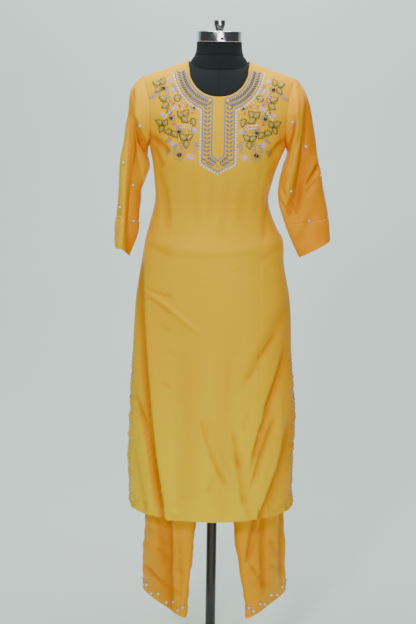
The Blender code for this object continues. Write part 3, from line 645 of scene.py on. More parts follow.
SLEEVE_FOLDS = {
    "left": [
        # the sharp groove down the upper arm, which opens into a wide hollow below the elbow
        (-209, 1520, -214, 1370, 4.5, 6, 15, 0),
        (-211, 1420, -222, 1110, 3.5, 32, 28, -2),
        (-228, 1480, -238, 1110, 10, 7, -4, 0),
        (-200, 1400, -170, 1235, 4, 12, -8, 4),
        # the pull from the underarm
        (-206, 1460, -174, 1372, 9, 4, 11, 6),
        (-192, 1445, -166, 1402, 7, 7, -4, 0),
        (-176, 1404, -164, 1364, 4.5, 5.5, 8, 0),
        (-200, 1330, -192, 1290, 5, 6, 3.5, 0),
        (-246, 1232, -222, 1214, 3.5, 4.5, 3, 0),
        (-206, 1200, -194, 1170, 6, 6, 4, 0),
    ],
    "right": [
        # the long valley from the upper arm to the inner elbow, and the ridge beside it
        (216, 1500, 176, 1235, 7, 22, 19, 8),
        (186, 1530, 168, 1255, 12, 6, -8, 10),
        # the gathers under the arm
        (184, 1460, 168, 1372, 4.5, 5, 13, 3),
        (194, 1420, 176, 1340, 5, 6, 5, 0),
        # creases at the elbow
        (249, 1350, 220, 1303, 3, 6, 9, 0),
        (240, 1312, 216, 1280, 3.5, 7, 5, 0),
        (160, 1292, 182, 1238, 4, 4.5, 8, 0),
        (156, 1262, 176, 1226, 4, 4.5, 7, 0),
        (200, 1300, 190, 1222, 7, 8, 5, 0),
        (240, 1450, 236, 1370, 7, 8, 4, 2),
        (232, 1230, 196, 1160, 9, 12, 4, 0),
    ],
}
SLEEVE_BACK_FOLDS = {
    "left": [(-212, 1480, -222, 1130, 14, 14, 10, 4)],
    "right": [(214, 1480, 222, 1130, 16, 18, 10, -6)],
}
CUFF_LIFT = {"left": 0.022, "right": 0.004}  # how far the front of the cuff rides up
CUFF_HEM = 0.84  # where the deep hem is stitched, as a share of the sleeve


def sleeve_ring(name, angle, t):
    """The sleeve before its folds. angle 0 is the outer side, and a quarter turn the front."""
    s = SIDES[name]
    row = sleeve_rows[name].at(t)
    outer = np.stack([s * row.outer_x, row.y, row.outer_z], -1)
    inner = np.stack([s * row.inner_x, row.y, row.inner_z], -1)
    depth = np.where(np.sin(angle) > 0, row.front, row.back)
    ring = (outer + inner) / 2 + (outer - inner) / 2 * np.cos(angle)[..., None]
    ring[..., 1] -= depth * np.sin(angle)
    front_inner = np.clip(np.sin(angle), 0, 1) * (1 - np.cos(angle)) / 2
    ring[..., 2] += CUFF_LIFT[name] * ease((t - 0.70) / 0.30) * front_inner
    level = (1 + np.cos(angle)) / 2
    front, rear = (kameez_skin(np.full(angle.shape, float(s)), level, side) for side in (-1, 1))
    armhole = np.where((np.sin(angle) >= 0)[..., None], front, rear)
    armhole[..., 0] += s * GAP
    return mix(armhole, ring, ease(t / 0.18)[..., None])


def sleeve_out(name, angle, t):
    return SIDES[name] * square_to(lambda u, v: sleeve_ring(name, u, v), angle, t, 0.01)


def sleeve_skin(name, angle, t):
    """The outer face of a sleeve: the tube with its folds and hem."""
    angle, t = spread_out(angle, t)
    base = sleeve_ring(name, angle, t)
    normal = sleeve_out(name, angle, t)
    x, z = base[..., 0], base[..., 2]
    front, rear = (sunk(folds[name], x, z) for folds in (SLEEVE_FOLDS, SLEEVE_BACK_FOLDS))
    sink = np.where(normal[..., 1] < 0, front, rear) * ease(np.abs(normal[..., 1]) * 1.6)
    sink += 0.0018 * crumple(angle * 0.05, t, 5 + SIDES[name], 0.028, 0.080)
    sink *= ease((t - 0.02) / 0.1)
    sink -= 0.0006 * ease((t - CUFF_HEM) / 0.003)
    sink += 0.0016 * bell((t - CUFF_HEM) / 0.004)
    return base - normal * sink[..., None]


SLEEVE_AROUND, SLEEVE_STEPS = 110, 96
near_hem = CUFF_HEM + np.array((-9, -6, -4, -2, 0, 2, 4, 6, 9)) / 1000
t = np.sort(np.concatenate([np.linspace(0, 1, SLEEVE_STEPS + 1), near_hem]))[::-1, None]
for word, s in SIDES.items():
    angle = -s * 2 * np.pi * np.arange(SLEEVE_AROUND) / SLEEVE_AROUND
    grid = sleeve_skin(word, angle, t)
    sleeve = cloth(f"silk_sleeve_{word}", grid, kameez_silk, SLEEVE_FOLDS[word], around=True)
    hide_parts(f"sleeve_{word}")

# The trousers, in the same silk a shade deeper: an elastic waistband on the hips, and a front and
# a back for each straight leg, which is pressed flat and hangs turned a little towards the front.

BAND_TOP, BAND_HEIGHT = 1.145, 0.035
FORK_TOP, CROTCH = 0.900, 0.800
LEG_HEM, LEG_HEM_DEPTH = 0.163, 0.030
LEG_TO_MIDDLE = 0.0002
HEM_RISE = 0.028  # from the inseam to the outseam
hips = Sections(
    "z half front back",
    (800, 168, 98, 96),
    (900, 167, 103, 100),
    (1000, 166, 107, 104),
    (1060, 164.5, 108.5, 105),
    (1115, 161.5, 105.5, 100.5),
)
legs = Sections(
    "z left_inner right_inner left_outer right_outer inner_y outer_y front back",
    (163, 66, 94, 182, 198, -80, 58, 20, 18),
    (210, 63, 90, 180, 197, -74, 54, 24, 20),
    (280, 56, 80, 177, 195, -64, 48, 30, 24),
    (386, 46, 62, 172, 189, -48, 38, 38, 30),
    (550, 34, 42, 168, 178, -26, 22, 54, 46),
    (700, 24, 26, 165, 166, -8, 6, 72, 68),
    (800, 19, 19, 164, 164, 0, 0, 82, 80),
)
LEG_FOLDS = {
    "left": [
        # the pressed crease, then drags towards the hem
        (-112, 480, -106, 190, 20, 5, 15, 0),
        (-150, 440, -130, 290, 8, 7, 5, 4),
        (-180, 268, -110, 224, 6, 8, 6, 0),
        (-150, 335, -112, 305, 5, 7, 4, 0),
        (-172, 390, -150, 372, 4, 5, 3, 0),
        (-86, 400, -78, 240, 8, 8, 3, 0),
        (-98, 300, -70, 280, 4, 5, 2, 0),
        (-96, 236, -74, 224, 4, 5, 2, 0),
    ],
    "right": [
        (116, 460, 92, 318, 6, 9, 9, 0),
        (136, 440, 104, 330, 5, 8, 5, 0),
        (132, 440, 138, 236, 7, 9, 9, 0),
        (182, 460, 189, 230, 7, 9, 9, 0),
        (150, 370, 178, 306, 5, 7, 4, 0),
        (102, 310, 132, 262, 5, 6, 5, 0),
        (108, 262, 166, 232, 7, 9, 3, 0),
        (150, 300, 186, 262, 5, 6, 3, 0),
    ],
}
LEG_BACK_FOLDS = {
    "left": [(-100, 560, -118, 190, 16, 14, 8, 0)],
    "right": [(108, 560, 140, 190, 14, 16, 8, 0)],
}


def leg_panel(name, side, share, z):
    """A leg panel before its folds, share 0 at its inner edge and 1 at the outseam."""
    s = SIDES[name]
    z = np.maximum(z, LEG_HEM)
    row = vars(legs.at(z))
    inner = np.stack([s * row[name + "_inner"], row["inner_y"]], -1)
    along = np.stack([s * row[name + "_outer"], row["outer_y"]], -1) - inner
    square = unit(np.stack([along[..., 1], -along[..., 0]], -1)) * s * -side
    depth = row["front"] if side < 0 else row["back"]
    bulge = depth * np.clip(np.sin(share * np.pi), 0, 1) ** 0.7
    flat = inner + along * ((1 - np.cos(share * np.pi)) / 2)[..., None] + square * bulge[..., None]
    rise = HEM_RISE * share * ease((0.3 - z) / 0.14)
    leg = np.concatenate([flat, (z + rise)[..., None]], -1)
    ring = hips.at(z)
    depth = ring.front if side < 0 else ring.back
    quarter = share * np.pi / 2
    hip = np.stack([s * ring.half * np.sin(quarter), side * depth * np.cos(quarter), z], -1)
    down = np.clip((FORK_TOP - z) / (FORK_TOP - CROTCH), 0, 1)
    return mix(hip, leg, (1 - np.sqrt(1 - down * down))[..., None])


def leg_out(name, side, share, z):
    normal = square_to(lambda u, v: leg_panel(name, side, u, v), share, z, 0.004)
    return SIDES[name] * -side * normal


def leg_skin(name, side, share, z):
    """The outer face of a leg panel, with its folds and hem."""
    share, z = spread_out(share, z)
    base = leg_panel(name, side, share, z)
    x, height = base[..., 0], base[..., 2]
    sink = sunk((LEG_FOLDS if side < 0 else LEG_BACK_FOLDS)[name], x, height)
    sink += 0.0022 * crumple(x, height, 21 + side + 4 * SIDES[name], 0.026, 0.070)
    sink += 0.0018 * crumple(x + 0.6 * height, height, 41 + SIDES[name], 0.024, 0.020)
    sink -= TURNED_IN * ease((LEG_HEM + LEG_HEM_DEPTH - z) / 0.0015)
    return base - leg_out(name, side, share, z) * sink[..., None]


# low, far and fold are painted shade: a little darker lower down, towards the right and in the folds
salwar_silk = silk(
    "salwar_silk",
    lit=(0.95, 0.44, 0.0),
    deep=(0.93, 0.34, 0.0),
    low=(0.95, 0.40, 0.0),
    far=(0.92, 0.44, 0.0),
    fold=(0.70, 0.20, 0.0),
)
LEG_ACROSS = 48
even = np.linspace(0, 1, LEG_ACROSS)
columns = mix((1 - np.cos(np.linspace(0, np.pi, LEG_ACROSS))) / 2, even, 0.5)
fork = FORK_TOP - (FORK_TOP - CROTCH) * np.cos(np.linspace(0, np.pi / 2, 20))
hip = np.linspace(FORK_TOP, BAND_TOP - BAND_HEIGHT - GAP, 40)[1:]
z = np.concatenate([np.linspace(LEG_HEM, CROTCH, 116)[:-1], fork, hip])[:, None]
for word, s in SIDES.items():
    for side, where in ((-1, "front"), (1, "back")):
        grid = leg_skin(word, side, columns[:: -s * side], z)
        grid[..., 0] += s * LEG_TO_MIDDLE
        grid[..., 1] += side * GAP
        folds = (LEG_FOLDS if side < 0 else LEG_BACK_FOLDS)[word]
        panel = cloth(f"silk_leg_{word}_{where}", grid, salwar_silk, folds)
        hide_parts(f"salwar_{word}_{where}")

# waistband: a doubled strip over elastic, gathered in small upright ripples
BAND_THICKNESS = 0.0022
angle = np.linspace(0, 2 * np.pi, 361)[:-1]
z = np.linspace(BAND_TOP - BAND_HEIGHT, BAND_TOP, 9)[:, None]
ring = hips.at(np.full(1, BAND_TOP - BAND_HEIGHT))
depth = np.where(np.sin(angle) > 0, ring.back, ring.front)
ripple = 0.0004 * np.sin(angle * 70 + 2 * np.sin(angle * 9))
x, y = (ring.half + ripple) * np.cos(angle), (depth + ripple) * np.sin(angle)
grid = np.stack([x + 0 * z, y + 0 * z, z + 0 * angle], -1)
band = cloth("silk_waistband", grid, salwar_silk, around=True, thickness=BAND_THICKNESS)
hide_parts("salwar_waistband")

# The needlework: a band between two silver cords, filled with feathers and edged with small drops,
# runs round the neck and down both sides of a plain placket to a point. Beside it are sprays of
# padded leaves, flowers, buds, stones and twigs, all sewn on in silk and metal thread.

LIFT = 0.0002  # of all needlework off the cloth


def circle(radius, count):
    """Points round a circle."""
    turns = (2 * math.pi * k / count for k in range(count))
    return [(radius * math.cos(turn), radius * math.sin(turn)) for turn in turns]


class Needlework:
    """All the shapes sewn in one thread or bead. They are drawn flat, as x, z and height in
    metres, and then laid on the cloth."""

    def __init__(self, name, colour, roughness, **constants):
        self.name = name
        self.finish, ink, shader = material(name, colour, roughness, **constants)
        dark = tuple(0.72 * c for c in colour)
        noise(ink, (1800, 1800, 1800), 1).mix(dark, colour).into(shader, "Base Color")
        self.waiting = []
        self.laid = []
        self.faces = []
        self.count = 0

    def add(self, points, faces):
        """Adds faces, each turned so that it looks up."""
        points = np.array(points, dtype=float)
        for face in faces:
            x, z = points[list(face), 0], points[list(face), 1]
            area = np.dot(x, np.roll(z, -1)) - np.dot(z, np.roll(x, -1))
            self.faces.append([self.count + i for i in (face if area > 0 else face[::-1])])
        self.waiting.append(points)
        self.count += len(points)

    def lay(self, place):
        """Lays what has been drawn since the last time on a surface."""
        if self.waiting:
            self.laid.append(place(np.concatenate(self.waiting)))
            self.waiting = []

    def dome(self, rings, tip):
        """A raised shape through three rings of points, closed at its tip."""
        count = len(rings[0])
        faces = []
        for k in range(count):
            n = (k + 1) % count
            faces.append((k, n, count + n, count + k))
            faces.append((count + k, count + n, 2 * count + n, 2 * count + k))
            faces.append((2 * count + k, 2 * count + n, 3 * count))
        self.add([*rings[0], *rings[1], *rings[2], tip], faces)

    def patch(self, outline, height, base=0.0):
        """A padded patch: its outline, two rings inside it, and its middle."""
        outline = np.array(outline)
        middle = outline.mean(axis=0)
        rings = []
        for share, lift in ((1.0, 0.0), (0.85, 0.65), (0.5, 0.95)):
            rings.append([(*mix(middle, p, share), base + height * lift) for p in outline])
        self.dome(rings, (*middle, base + height))

    def bead(self, x, z, radius, around=8, base=0.0):
        """A round bead, its lower half sunk in the pile."""
        rings = []
        for rise in np.radians((0, 28, 58)):
            height = base + radius * (0.4 + math.sin(rise)) if rise else base
            ring = circle(radius * math.cos(rise), around)
            rings.append([(x + u, z + v, height) for u, v in ring])
        self.dome(rings, (x, z, base + 1.4 * radius))

    def stitch(self, start, end, width, height=0.0008, base=0.0):
        """One fat stitch, pointed at both ends."""
        start, end = np.array(start), np.array(end)
        way = end - start
        square = unit(np.array((-way[1], way[0]))) * width / 2
        near, far = mix(start, end, 0.28), mix(start, end, 0.72)
        flat = [start, near - square, far - square, end, far + square, near + square]
        points = [(*p, base) for p in flat] + [(*near, base + height), (*far, base + height)]
        self.add(points, [(0, 1, 6), (1, 2, 7, 6), (2, 3, 7), (3, 4, 7), (4, 5, 6, 7), (5, 0, 6)])

    def cord(self, line, width, height=0.0009):
        """A couched cord along a line of points."""
        way = np.gradient(line, axis=0)
        square = unit(np.stack([-way[:, 1], way[:, 0]], -1)) * width / 2
        points = []
        for p, q in zip(line, square):
            for across, up in ((-1, 0), (-0.6, 0.8), (0, 1), (0.6, 0.8), (1, 0)):
                points.append((*(p + q * across), height * up))
        corners = [5 * i + j for i in range(len(line) - 1) for j in range(4)]
        self.add(points, [(a, a + 1, a + 6, a + 5) for a in corners])

    def finish_off(self):
        points = np.concatenate(self.laid).tolist()
        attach(shape(f"needlework_{self.name}", points, self.faces, self.finish), "root")


silver = Needlework("silver_thread", (0.27, 0.265, 0.29), 0.42, Metallic=0.15)
painted_shadow_stitches = Needlework("painted_feather_shadow", (0.075, 0.055, 0.035), 0.45, Metallic=0.3)
leaf_rim = Needlework("dark_green_thread", (0.030, 0.034, 0.008), 0.55)
leaf_edge = Needlework("lime_thread", (0.46, 0.40, 0.03), 0.50)
leaf_heart = Needlework("peach_thread", (0.86, 0.32, 0.17), 0.50)
lilac = Needlework("lilac_thread", (0.66, 0.50, 1.0), 0.45)
coral = Needlework("coral_thread", (0.95, 0.15, 0.06), 0.50)
pearl = Needlework("pearl_beads", (0.95, 0.95, 0.92), 0.22, Coat_Weight=0.4)
stone = Needlework("brown_stones", (0.030, 0.013, 0.006), 0.10, Coat_Weight=0.8)
gold = Needlework("gold_thread", (0.50, 0.15, 0.0), 0.5)
NEEDLEWORK = (silver, painted_shadow_stitches, leaf_rim, leaf_edge, leaf_heart, lilac, coral, pearl, stone, gold)


def on_front(points):
    """Lays flat x, z and height points on the front of the kameez."""
    f, level = kameez.find(points[:, 0], points[:, 1])
    return kameez_skin(f, level, -1) + kameez.out(f, level, -1) * (points[:, 2:] + LIFT)


# the band: each edge round the neck, down the placket and on to the tip
BAND = SimpleNamespace(inner=0.0045, outer=0.033, start=0.24, inner_end=1.41, outer_end=1.27)
BAND_COUNTS = (18, 13, 5)
PLACKET = SimpleNamespace(half=0.0150, foot=1.377, tip=1.362)
PLACKET_EDGE = SimpleNamespace(half=0.0375, foot=1.358, tip=1.336)
CORD_WIDTH = 0.0036
FEATHER = SimpleNamespace(reach=0.78, slant=0.0034, width=0.0048, shadow=0.0017, below=0.0020)
DROP = SimpleNamespace(off=0.0026, step=0.0068, length=0.0068, width=0.0042, height=0.0022)


def neck_offset(angle, distance):
    """Points round the neck at a distance from its edge."""
    here = np.stack(neck_curve(angle, NECKLINE.half, NECKLINE.depth), -1)
    ahead = np.stack(neck_curve(angle + 0.01, NECKLINE.half, NECKLINE.depth), -1)
    way = unit(ahead - here)
    return here + np.stack([way[..., 1], -way[..., 0]], -1) * distance


def band_line(distance, end, edge):
    """One edge of the band, in three stretches."""
    round_neck, down_placket, to_tip = BAND_COUNTS
    neck = neck_offset(np.linspace(BAND.start, end, round_neck + 1), distance)
    neck[-1, 0] = -edge.half
    down = np.linspace(neck[-1], (-edge.half, edge.foot), down_placket + 1)[1:]
    tip = np.linspace((-edge.half, edge.foot), (0, edge.tip), to_tip + 1)[1:]
    return np.concatenate([neck, down, tip])


inner = band_line(BAND.inner, BAND.inner_end, PLACKET)
outer = band_line(BAND.outer, BAND.outer_end, PLACKET_EDGE)
middle = (inner + outer) / 2
along = unit(np.gradient(middle, axis=0))
away = unit(outer - inner)
for s in (1, -1):
    flip = np.array((s, 1))
    silver.cord(inner * flip, CORD_WIDTH)
    silver.cord(outer * flip, CORD_WIDTH)
    for k in range(len(middle) - 2):
        # a feather of two leaf stitches, each with a dark stitch along its lower side, painted as its
        # shadow
        square = np.array((-along[k][1], along[k][0]))
        half = abs(np.dot(outer[k] - inner[k], square)) / 2
        foot = middle[k] + along[k] * FEATHER.slant
        below = along[k] * FEATHER.below
        for reach in (-FEATHER.reach * half, FEATHER.reach * half):
            tip = middle[k] + square * reach - along[k] * FEATHER.slant
            silver.stitch(foot * flip, tip * flip, FEATHER.width, 0.0013)
            ends = (foot + below) * flip, (tip + below) * flip
            painted_shadow_stitches.stitch(*ends, FEATHER.shadow, 0.0008, 0.0006)
    # a row of drops outside the band
    border = outer + away * DROP.off
    gaps = np.linalg.norm(np.diff(border, axis=0), axis=1)
    run = np.concatenate([[0], np.cumsum(gaps)])
    for distance in np.arange(0.001, run[-1] - 0.002, DROP.step):
        start = np.array([np.interp(distance, run, border[:, i]) for i in (0, 1)])
        square = np.array([np.interp(distance, run, away[:, i]) for i in (0, 1)])
        pearl.stitch(start * flip, (start + square * DROP.length) * flip, DROP.width, DROP.height)
last = PLACKET_EDGE.tip - DROP.off
pearl.stitch((0, last), (0, last - DROP.length), DROP.width, DROP.height)
# a small star at the tip
STAR = np.array((0, 1.349))
for near, far in zip(circle(0.0016, 8), circle(0.0058, 8)):
    silver.stitch(STAR + near, STAR + far, 0.0018)


def turned_by(turn, points, x, z):
    """Flat points turned by degrees and moved to x, z."""
    c, d = math.cos(math.radians(turn)), math.sin(math.radians(turn))
    return [(x + u * c - v * d, z + u * d + v * c) for u, v in points]


def leaf(x, z, size, turn):
    """A padded leaf with a dark rim of four teeth a side, a lime edge and a peach heart."""
    side = []
    for k in range(1, 8):
        t = k / 8
        tooth, lean = (1.42, -0.03) if k % 2 else (0.70, 0.0)
        width = size * 0.40 * math.sin(math.pi * t**0.85) ** 0.75
        side.append((size * (t - 0.5 + lean), width * tooth))
    outline = [(-size / 2, 0)] + [(u, -v) for u, v in side] + [(size * 0.60, 0)] + side[::-1]
    for thread, length, width, height, base in (
        (leaf_rim, 1, 1, 0.0008, 0),
        (leaf_edge, 0.76, 0.74, 0.0007, 0.0006),
        (leaf_heart, 0.52, 0.34, 0.0006, 0.0011),
    ):
        shrunk = [(length * u, width * v) for u, v in outline]
        thread.patch(turned_by(turn, shrunk, x, z), height, base)


def flower(x, z, size, turn):
    """A small flower of five rounded petals round a bead."""
    petal = [(size * 0.30 + 0.21 * u, 0.17 * v) for u, v in circle(size, 8)]
    for k in range(5):
        lilac.patch(turned_by(turn + 72 * k, petal, x, z), 0.0008)
    pearl.bead(x, z, size * 0.10, around=6, base=0.0004)


def bud(x, z, size, turn):
    """A coral bud on a short stalk."""
    drop = [(-0.5, 0), (-0.2, -0.28), (0.2, -0.32), (0.5, 0), (0.2, 0.32), (-0.2, 0.28)]
    coral.patch(turned_by(turn, [(size * u, size * v) for u, v in drop], x, z), 0.0009)
    silver.stitch(*turned_by(turn, [(-size * 0.5, 0), (-size, 0)], x, z), 0.0009, 0.0005)


def set_stone(x, z, size):
    """A round stone in a ring of tiny silver beads."""
    stone.bead(x, z, size, around=12)
    for u, v in circle(size * 1.35, 10):
        silver.bead(x + u, z + v, size * 0.26, 5)


def twig(x, z, length, turn, pairs):
    """A silver twig with pairs of narrow leaves and a leaf at its end."""
    step = length / pairs
    for k in range(pairs):
        start = step * k
        silver.stitch(*turned_by(turn, [(start, 0), (start + step, 0)], x, z), 0.0016, 0.0006)
        reach = 0.0070 * (1 - 0.4 * k / pairs)
        foot = start + step / 2
        for side in (-1, 1):
            ends = (foot, side * 0.0004), (foot + reach * 0.7, side * reach * 0.75)
            silver.stitch(*turned_by(turn, ends, x, z), 0.0028, 0.0008)
    silver.stitch(*turned_by(turn, [(length, 0), (length + 0.0042, 0)], x, z), 0.0026, 0.0008)


# the left spray, in millimetres and degrees, which the right one mirrors
LEAVES = (
    # x, z, size, turn in degrees
    (-150, 1537, 18, 165), (-134, 1543, 17, 65), (-145, 1524, 18, 235), (-133, 1503, 19, 160),
    (-127, 1488, 19, 215), (-98, 1506, 18, 25), (-117, 1474, 16, 110), (-91, 1468, 18, 135),
    (-77, 1472, 18, 50), (-80, 1456, 19, -35), (-59, 1452, 19, -75), (-141, 1447, 18, 155),
    (-126, 1447, 17, 60), (-136, 1432, 18, 245), (-118, 1426, 18, 190), (-103, 1421, 18, -45),
    (-83, 1414, 19, 150), (-67, 1416, 18, 35), (-75, 1399, 19, -85),
)
FLOWERS = (
    (-119, 1545, 12.5, 10), (-110, 1523, 11.5, 40), (-103, 1483, 12, 20), (-133, 1466, 11, 60),
    (-56, 1431, 12.5, 30), (-107, 1398, 13, 0), (-64, 1369, 14.5, 50),
)
BUDS = (
    (-115, 1499, 8.5, 120), (-106, 1493, 8.5, 80), (-92, 1488, 8, 95), (-75, 1489, 9, 60),
    (-106, 1446, 8.5, 20), (-62, 1473, 8, 75),
)
STONES = (
    (-131, 1527, 4), (-112, 1459, 4.2), (-92, 1427, 4), (-58, 1484, 3),
)
TWIGS = (
    # x, z, length, turn, leaves
    (-126, 1534, 30, -78, 5), (-112, 1538, 22, -50, 4), (-150, 1510, 16, 200, 3),
    (-139, 1511, 16, 155, 3), (-120, 1512, 24, -60, 4), (-106, 1470, 26, -85, 4),
    (-70, 1484, 18, 20, 3), (-100, 1441, 22, -40, 4), (-68, 1439, 18, -60, 3),
    (-110, 1412, 16, 215, 3), (-97, 1401, 18, 250, 3), (-92, 1405, 20, -60, 3),
    (-60, 1408, 18, -45, 3), (-55, 1400, 18, -85, 3), (-112, 1386, 16, 230, 3),
)
SEQUIN_ROWS = (
    # from x, z to x, z, count
    (-124, 1465, -108, 1480, 5), (-128, 1458, -116, 1470, 4), (-92, 1445, -64, 1443, 7),
    (-90, 1439, -66, 1436, 6), (-103, 1516, -94, 1494, 4), (-86, 1480, -82, 1497, 3),
)
BURST = (-89, 1374)
BY_HAND = 0.0004
rng = np.random.default_rng(7)


def by_hand(s, x, z):
    """A place of the tables on one side, in metres and a little off, as sewn by hand."""
    return s * x / 1000 + rng.normal(0, BY_HAND), z / 1000 + rng.normal(0, BY_HAND)


def facing(s, turn):
    """A turn of the tables, mirrored on the right."""
    return turn if s > 0 else 180 - turn


for s in (1, -1):
    for x, z, size, turn in LEAVES:
        leaf(*by_hand(s, x, z), size / 1000 * rng.uniform(1.04, 1.14), facing(s, turn))
    for x, z, size, turn in FLOWERS:
        flower(*by_hand(s, x, z), size / 1000, turn * s)
    for x, z, size, turn in BUDS:
        bud(*by_hand(s, x, z), size / 1000 * 1.15, facing(s, turn))
    for x, z, size in STONES:
        set_stone(*by_hand(s, x, z), size / 1000)
    for x, z, length, turn, pairs in TWIGS:
        twig(*by_hand(s, x, z), length / 1000, facing(s, turn), pairs)
    for x0, z0, x1, z1, count in SEQUIN_ROWS:
        for t in np.linspace(0, 1, count):
            pearl.bead(*by_hand(s, mix(x0, x1, t), mix(z0, z1, t)), 0.0018, 7)
    # the flower of silver rays under the spray
    x, z = by_hand(s, *BURST)
    set_stone(x, z, 0.0050)
    for k in range(11):
        ray = [(0.0080, 0), (0.0140 + 0.003 * (k % 2), 0)]
        silver.stitch(*turned_by(k * 360 / 11, ray, x, z), 0.0028)
for thread in NEEDLEWORK:
    thread.lay(on_front)


def tangent(point, normal):
    """A way of laying flat points on a small patch of cloth at a point."""
    right = unit(np.array((1.0, 0.0, 0.0)) - normal * normal[0])
    up = np.cross(right, normal)
    up *= -1 if up[2] < 0 else 1
    return lambda flat: point + flat[:, :1] * right + flat[:, 1:2] * up + normal * (flat[:, 2:] + LIFT)


def small_motif(point, normal, size):
    """A single white bead in a little flower of four silver stitches."""
    pearl.bead(0, 0, size * 0.38, 8)
    for turn in (45, 135, 225, 315):
        near, far = turned_by(turn, [(size * 0.42, 0), (size, 0)], 0, 0)
        silver.stitch(near, far, size * 0.40, 0.0007)
    for thread in (pearl, silver):
        thread.lay(tangent(point, normal))


# single flowers scattered on the sleeves
SLEEVE_MOTIFS = {
    "left": ((-188, 1437), (-227, 1350), (-206, 1294), (-236, 1240), (-205, 1205)),
    "right": ((179, 1452), (253, 1319), (181, 1284), (227, 1211), (212, 1392)),
}
angles, shares = np.meshgrid(np.linspace(0.15, np.pi - 0.15, 160), np.linspace(0.05, 0.99, 200))
for word, motifs in SLEEVE_MOTIFS.items():
    skin = sleeve_skin(word, angles, shares)
    out = sleeve_out(word, angles, shares)
    for x, z in motifs:
        off = (skin[..., 0] - x / 1000) ** 2 + (skin[..., 2] - z / 1000) ** 2
        nearest = np.unravel_index(np.argmin(off), off.shape)
        small_motif(skin[nearest], out[nearest], 0.0076)

# two staggered rows along the trouser hems
ABOVE_LEG_HEM = (0.027, 0.013)
for word in SIDES:
    for k, share in enumerate(np.linspace(0.08, 0.92, 9)):
        place = word, -1, np.array([share]), np.array([LEG_HEM + ABOVE_LEG_HEM[k % 2]])
        small_motif(leg_skin(*place)[0], leg_out(*place)[0], rng.uniform(0.0078, 0.0100))

# whipped gold stitches along the slits and the ends of the hem
WHIP_TOP, WHIP_STEP = 0.860, 0.0040
WHIP_PLACES = (0.91, 0.985, 0.84)  # f of each stitch, in turn
for s in (-1, 1):
    for side in (-1, 1):
        for k, z in enumerate(np.arange(HEM + WHIP_STEP, WHIP_TOP, WHIP_STEP)):
            place = np.array([s * WHIP_PLACES[k % 3]]), np.array([z - ARMPIT]), side
            gold.stitch((-0.0042, -0.0014), (0.0042, 0.0016), 0.0030, 0.0010)
            gold.lay(tangent(kameez_skin(*place)[0], kameez.out(*place)[0]))
for thread in NEEDLEWORK:
    thread.finish_off()

# The dress form: a hard torso with no limbs, under a tight cover of black jersey that is seamed
# down the middle of the front and round the foot of the neck.

FORM_BOTTOM = 0.930
form = Trunk(
    Sections(
        "z centre half front back",
        (930, 0, 128, 76, 76),
        (938, 0, 142, 89, 88),
        (960, 0, 152, 97, 95),
        (1010, 0, 157, 101, 99),
        (1060, 0, 158.5, 102.5, 98.5),
        (1115, 0, 157.8, 101.8, 96.8),
        (1180, 0, 139, 94, 87),
        (1250, 0, 118, 87, 77),
        (1310, 0, 128, 98, 77),
        (1350, 0, 141, 105, 82),
        (1387, 0, 158, 106, 85),
    ),
    0.160,
    0.178,
    drop=0.0024,
    chest=Sections("v depth", (0, 106), (0.12, 104.8), (0.3, 100), (0.6, 84), (0.8, 72), (1, 62)),
    upper_back=Sections("v depth", (0, 85), (0.4, 91), (0.9, 89), (1, 86)),
    arm_depth=0.56,
)
neck = Sections(
    "z half front back",
    (1500, 60, 40, 45),
    (1568, 80, 56, 60),
    (1584, 72.5, 55.5, 59),
    (1594, 66.5, 54.5, 57),
    (1604, 60, 53.5, 55.5),
    (1616, 56, 53, 54),
    (1636.7, 54.5, 53, 53),
)
NECK_SEAM = 1.603
SEAM_APART = 0.0006  # between front and back at the sides


def solid(name, rings, finish, *nodes):
    """A closed solid through rings listed upwards, each anticlockwise from above."""
    rows, columns = rings.shape[:2]
    ends = [list(range(columns))[::-1], list(range((rows - 1) * columns, rows * columns))]
    piece = shape(name, rings.reshape(-1, 3).tolist(), grid_faces(rings, True) + ends, finish)
    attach(piece, "root")
    if nodes:
        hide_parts(*nodes)
    return piece


jersey_look = {"Sheen_Weight": 0.05, "Sheen_Roughness": 0.5, "Specular_IOR_Level": 0.15}
jersey, ink, shader = material("form_jersey", (0.012, 0.016, 0.018), 0.85, **jersey_look)
wear = noise(ink, (7, 7, 7), 3)
wear.mix((0.009, 0.012, 0.0135), (0.018, 0.023, 0.025)).into(shader, "Base Color")
knit = {"Strength": 0.4, "Distance": 0.0003, "Height": noise(ink, (1500, 1500, 900), 1)}
ink.node("ShaderNodeBump", knit).into(shader, "Normal")

FORM_ACROSS = 60
beside_seam = np.array((-12, -6, -3, 3, 6, 12)) / 1000
f = np.sort(np.concatenate([np.linspace(-1, 1, FORM_ACROSS + 1), beside_seam]))
rim = np.linspace(FORM_BOTTOM, 0.962, 9)[:-1]
lower = np.concatenate([rim, np.linspace(0.962, ARMPIT, 50)]) - ARMPIT
upper = (1 - np.cos(np.pi * np.arange(1, 30) / 30)) / 2
levels = np.concatenate([lower, upper, [0.998]])[:, None]
front, rear = form.point(f, levels, -1), form.point(-f, levels, 1)
front[..., 1] += 0.0016 * bell(front[..., 0] / 0.0011)
front[: len(lower), [0, -1], 1] -= SEAM_APART
rear[: len(lower), [0, -1], 1] += SEAM_APART
torso = solid("form_body", np.concatenate([front, rear], axis=1), jersey, "form_torso")

z = np.linspace(1.500, 1.6367, 70)[:, None]
angle = np.linspace(0, 2 * np.pi, 121)[:-1]
row = neck.at(z)
tuck = 0.0014 * bell((z - NECK_SEAM) / 0.0014)
depth = np.where(np.sin(angle) > 0, row.back, row.front) - tuck
slant = 0.004 * np.sin(angle) * ease((z - 1.50) / 0.05) * ease((1.63 - z) / 0.02)
rings = np.stack([(row.half - tuck) * np.cos(angle), depth * np.sin(angle), z - slant], -1)
neck_cover = solid("form_neck", rings, jersey)

# The neck cap and its knob: turned steel, chromed, with a soft rounded rim. The knob flares up
# from a narrow foot. A small grub screw holds the cap at the front.

AXIS = 0.0005  # how near a turned piece comes to its axis
SHARP = math.radians(40)


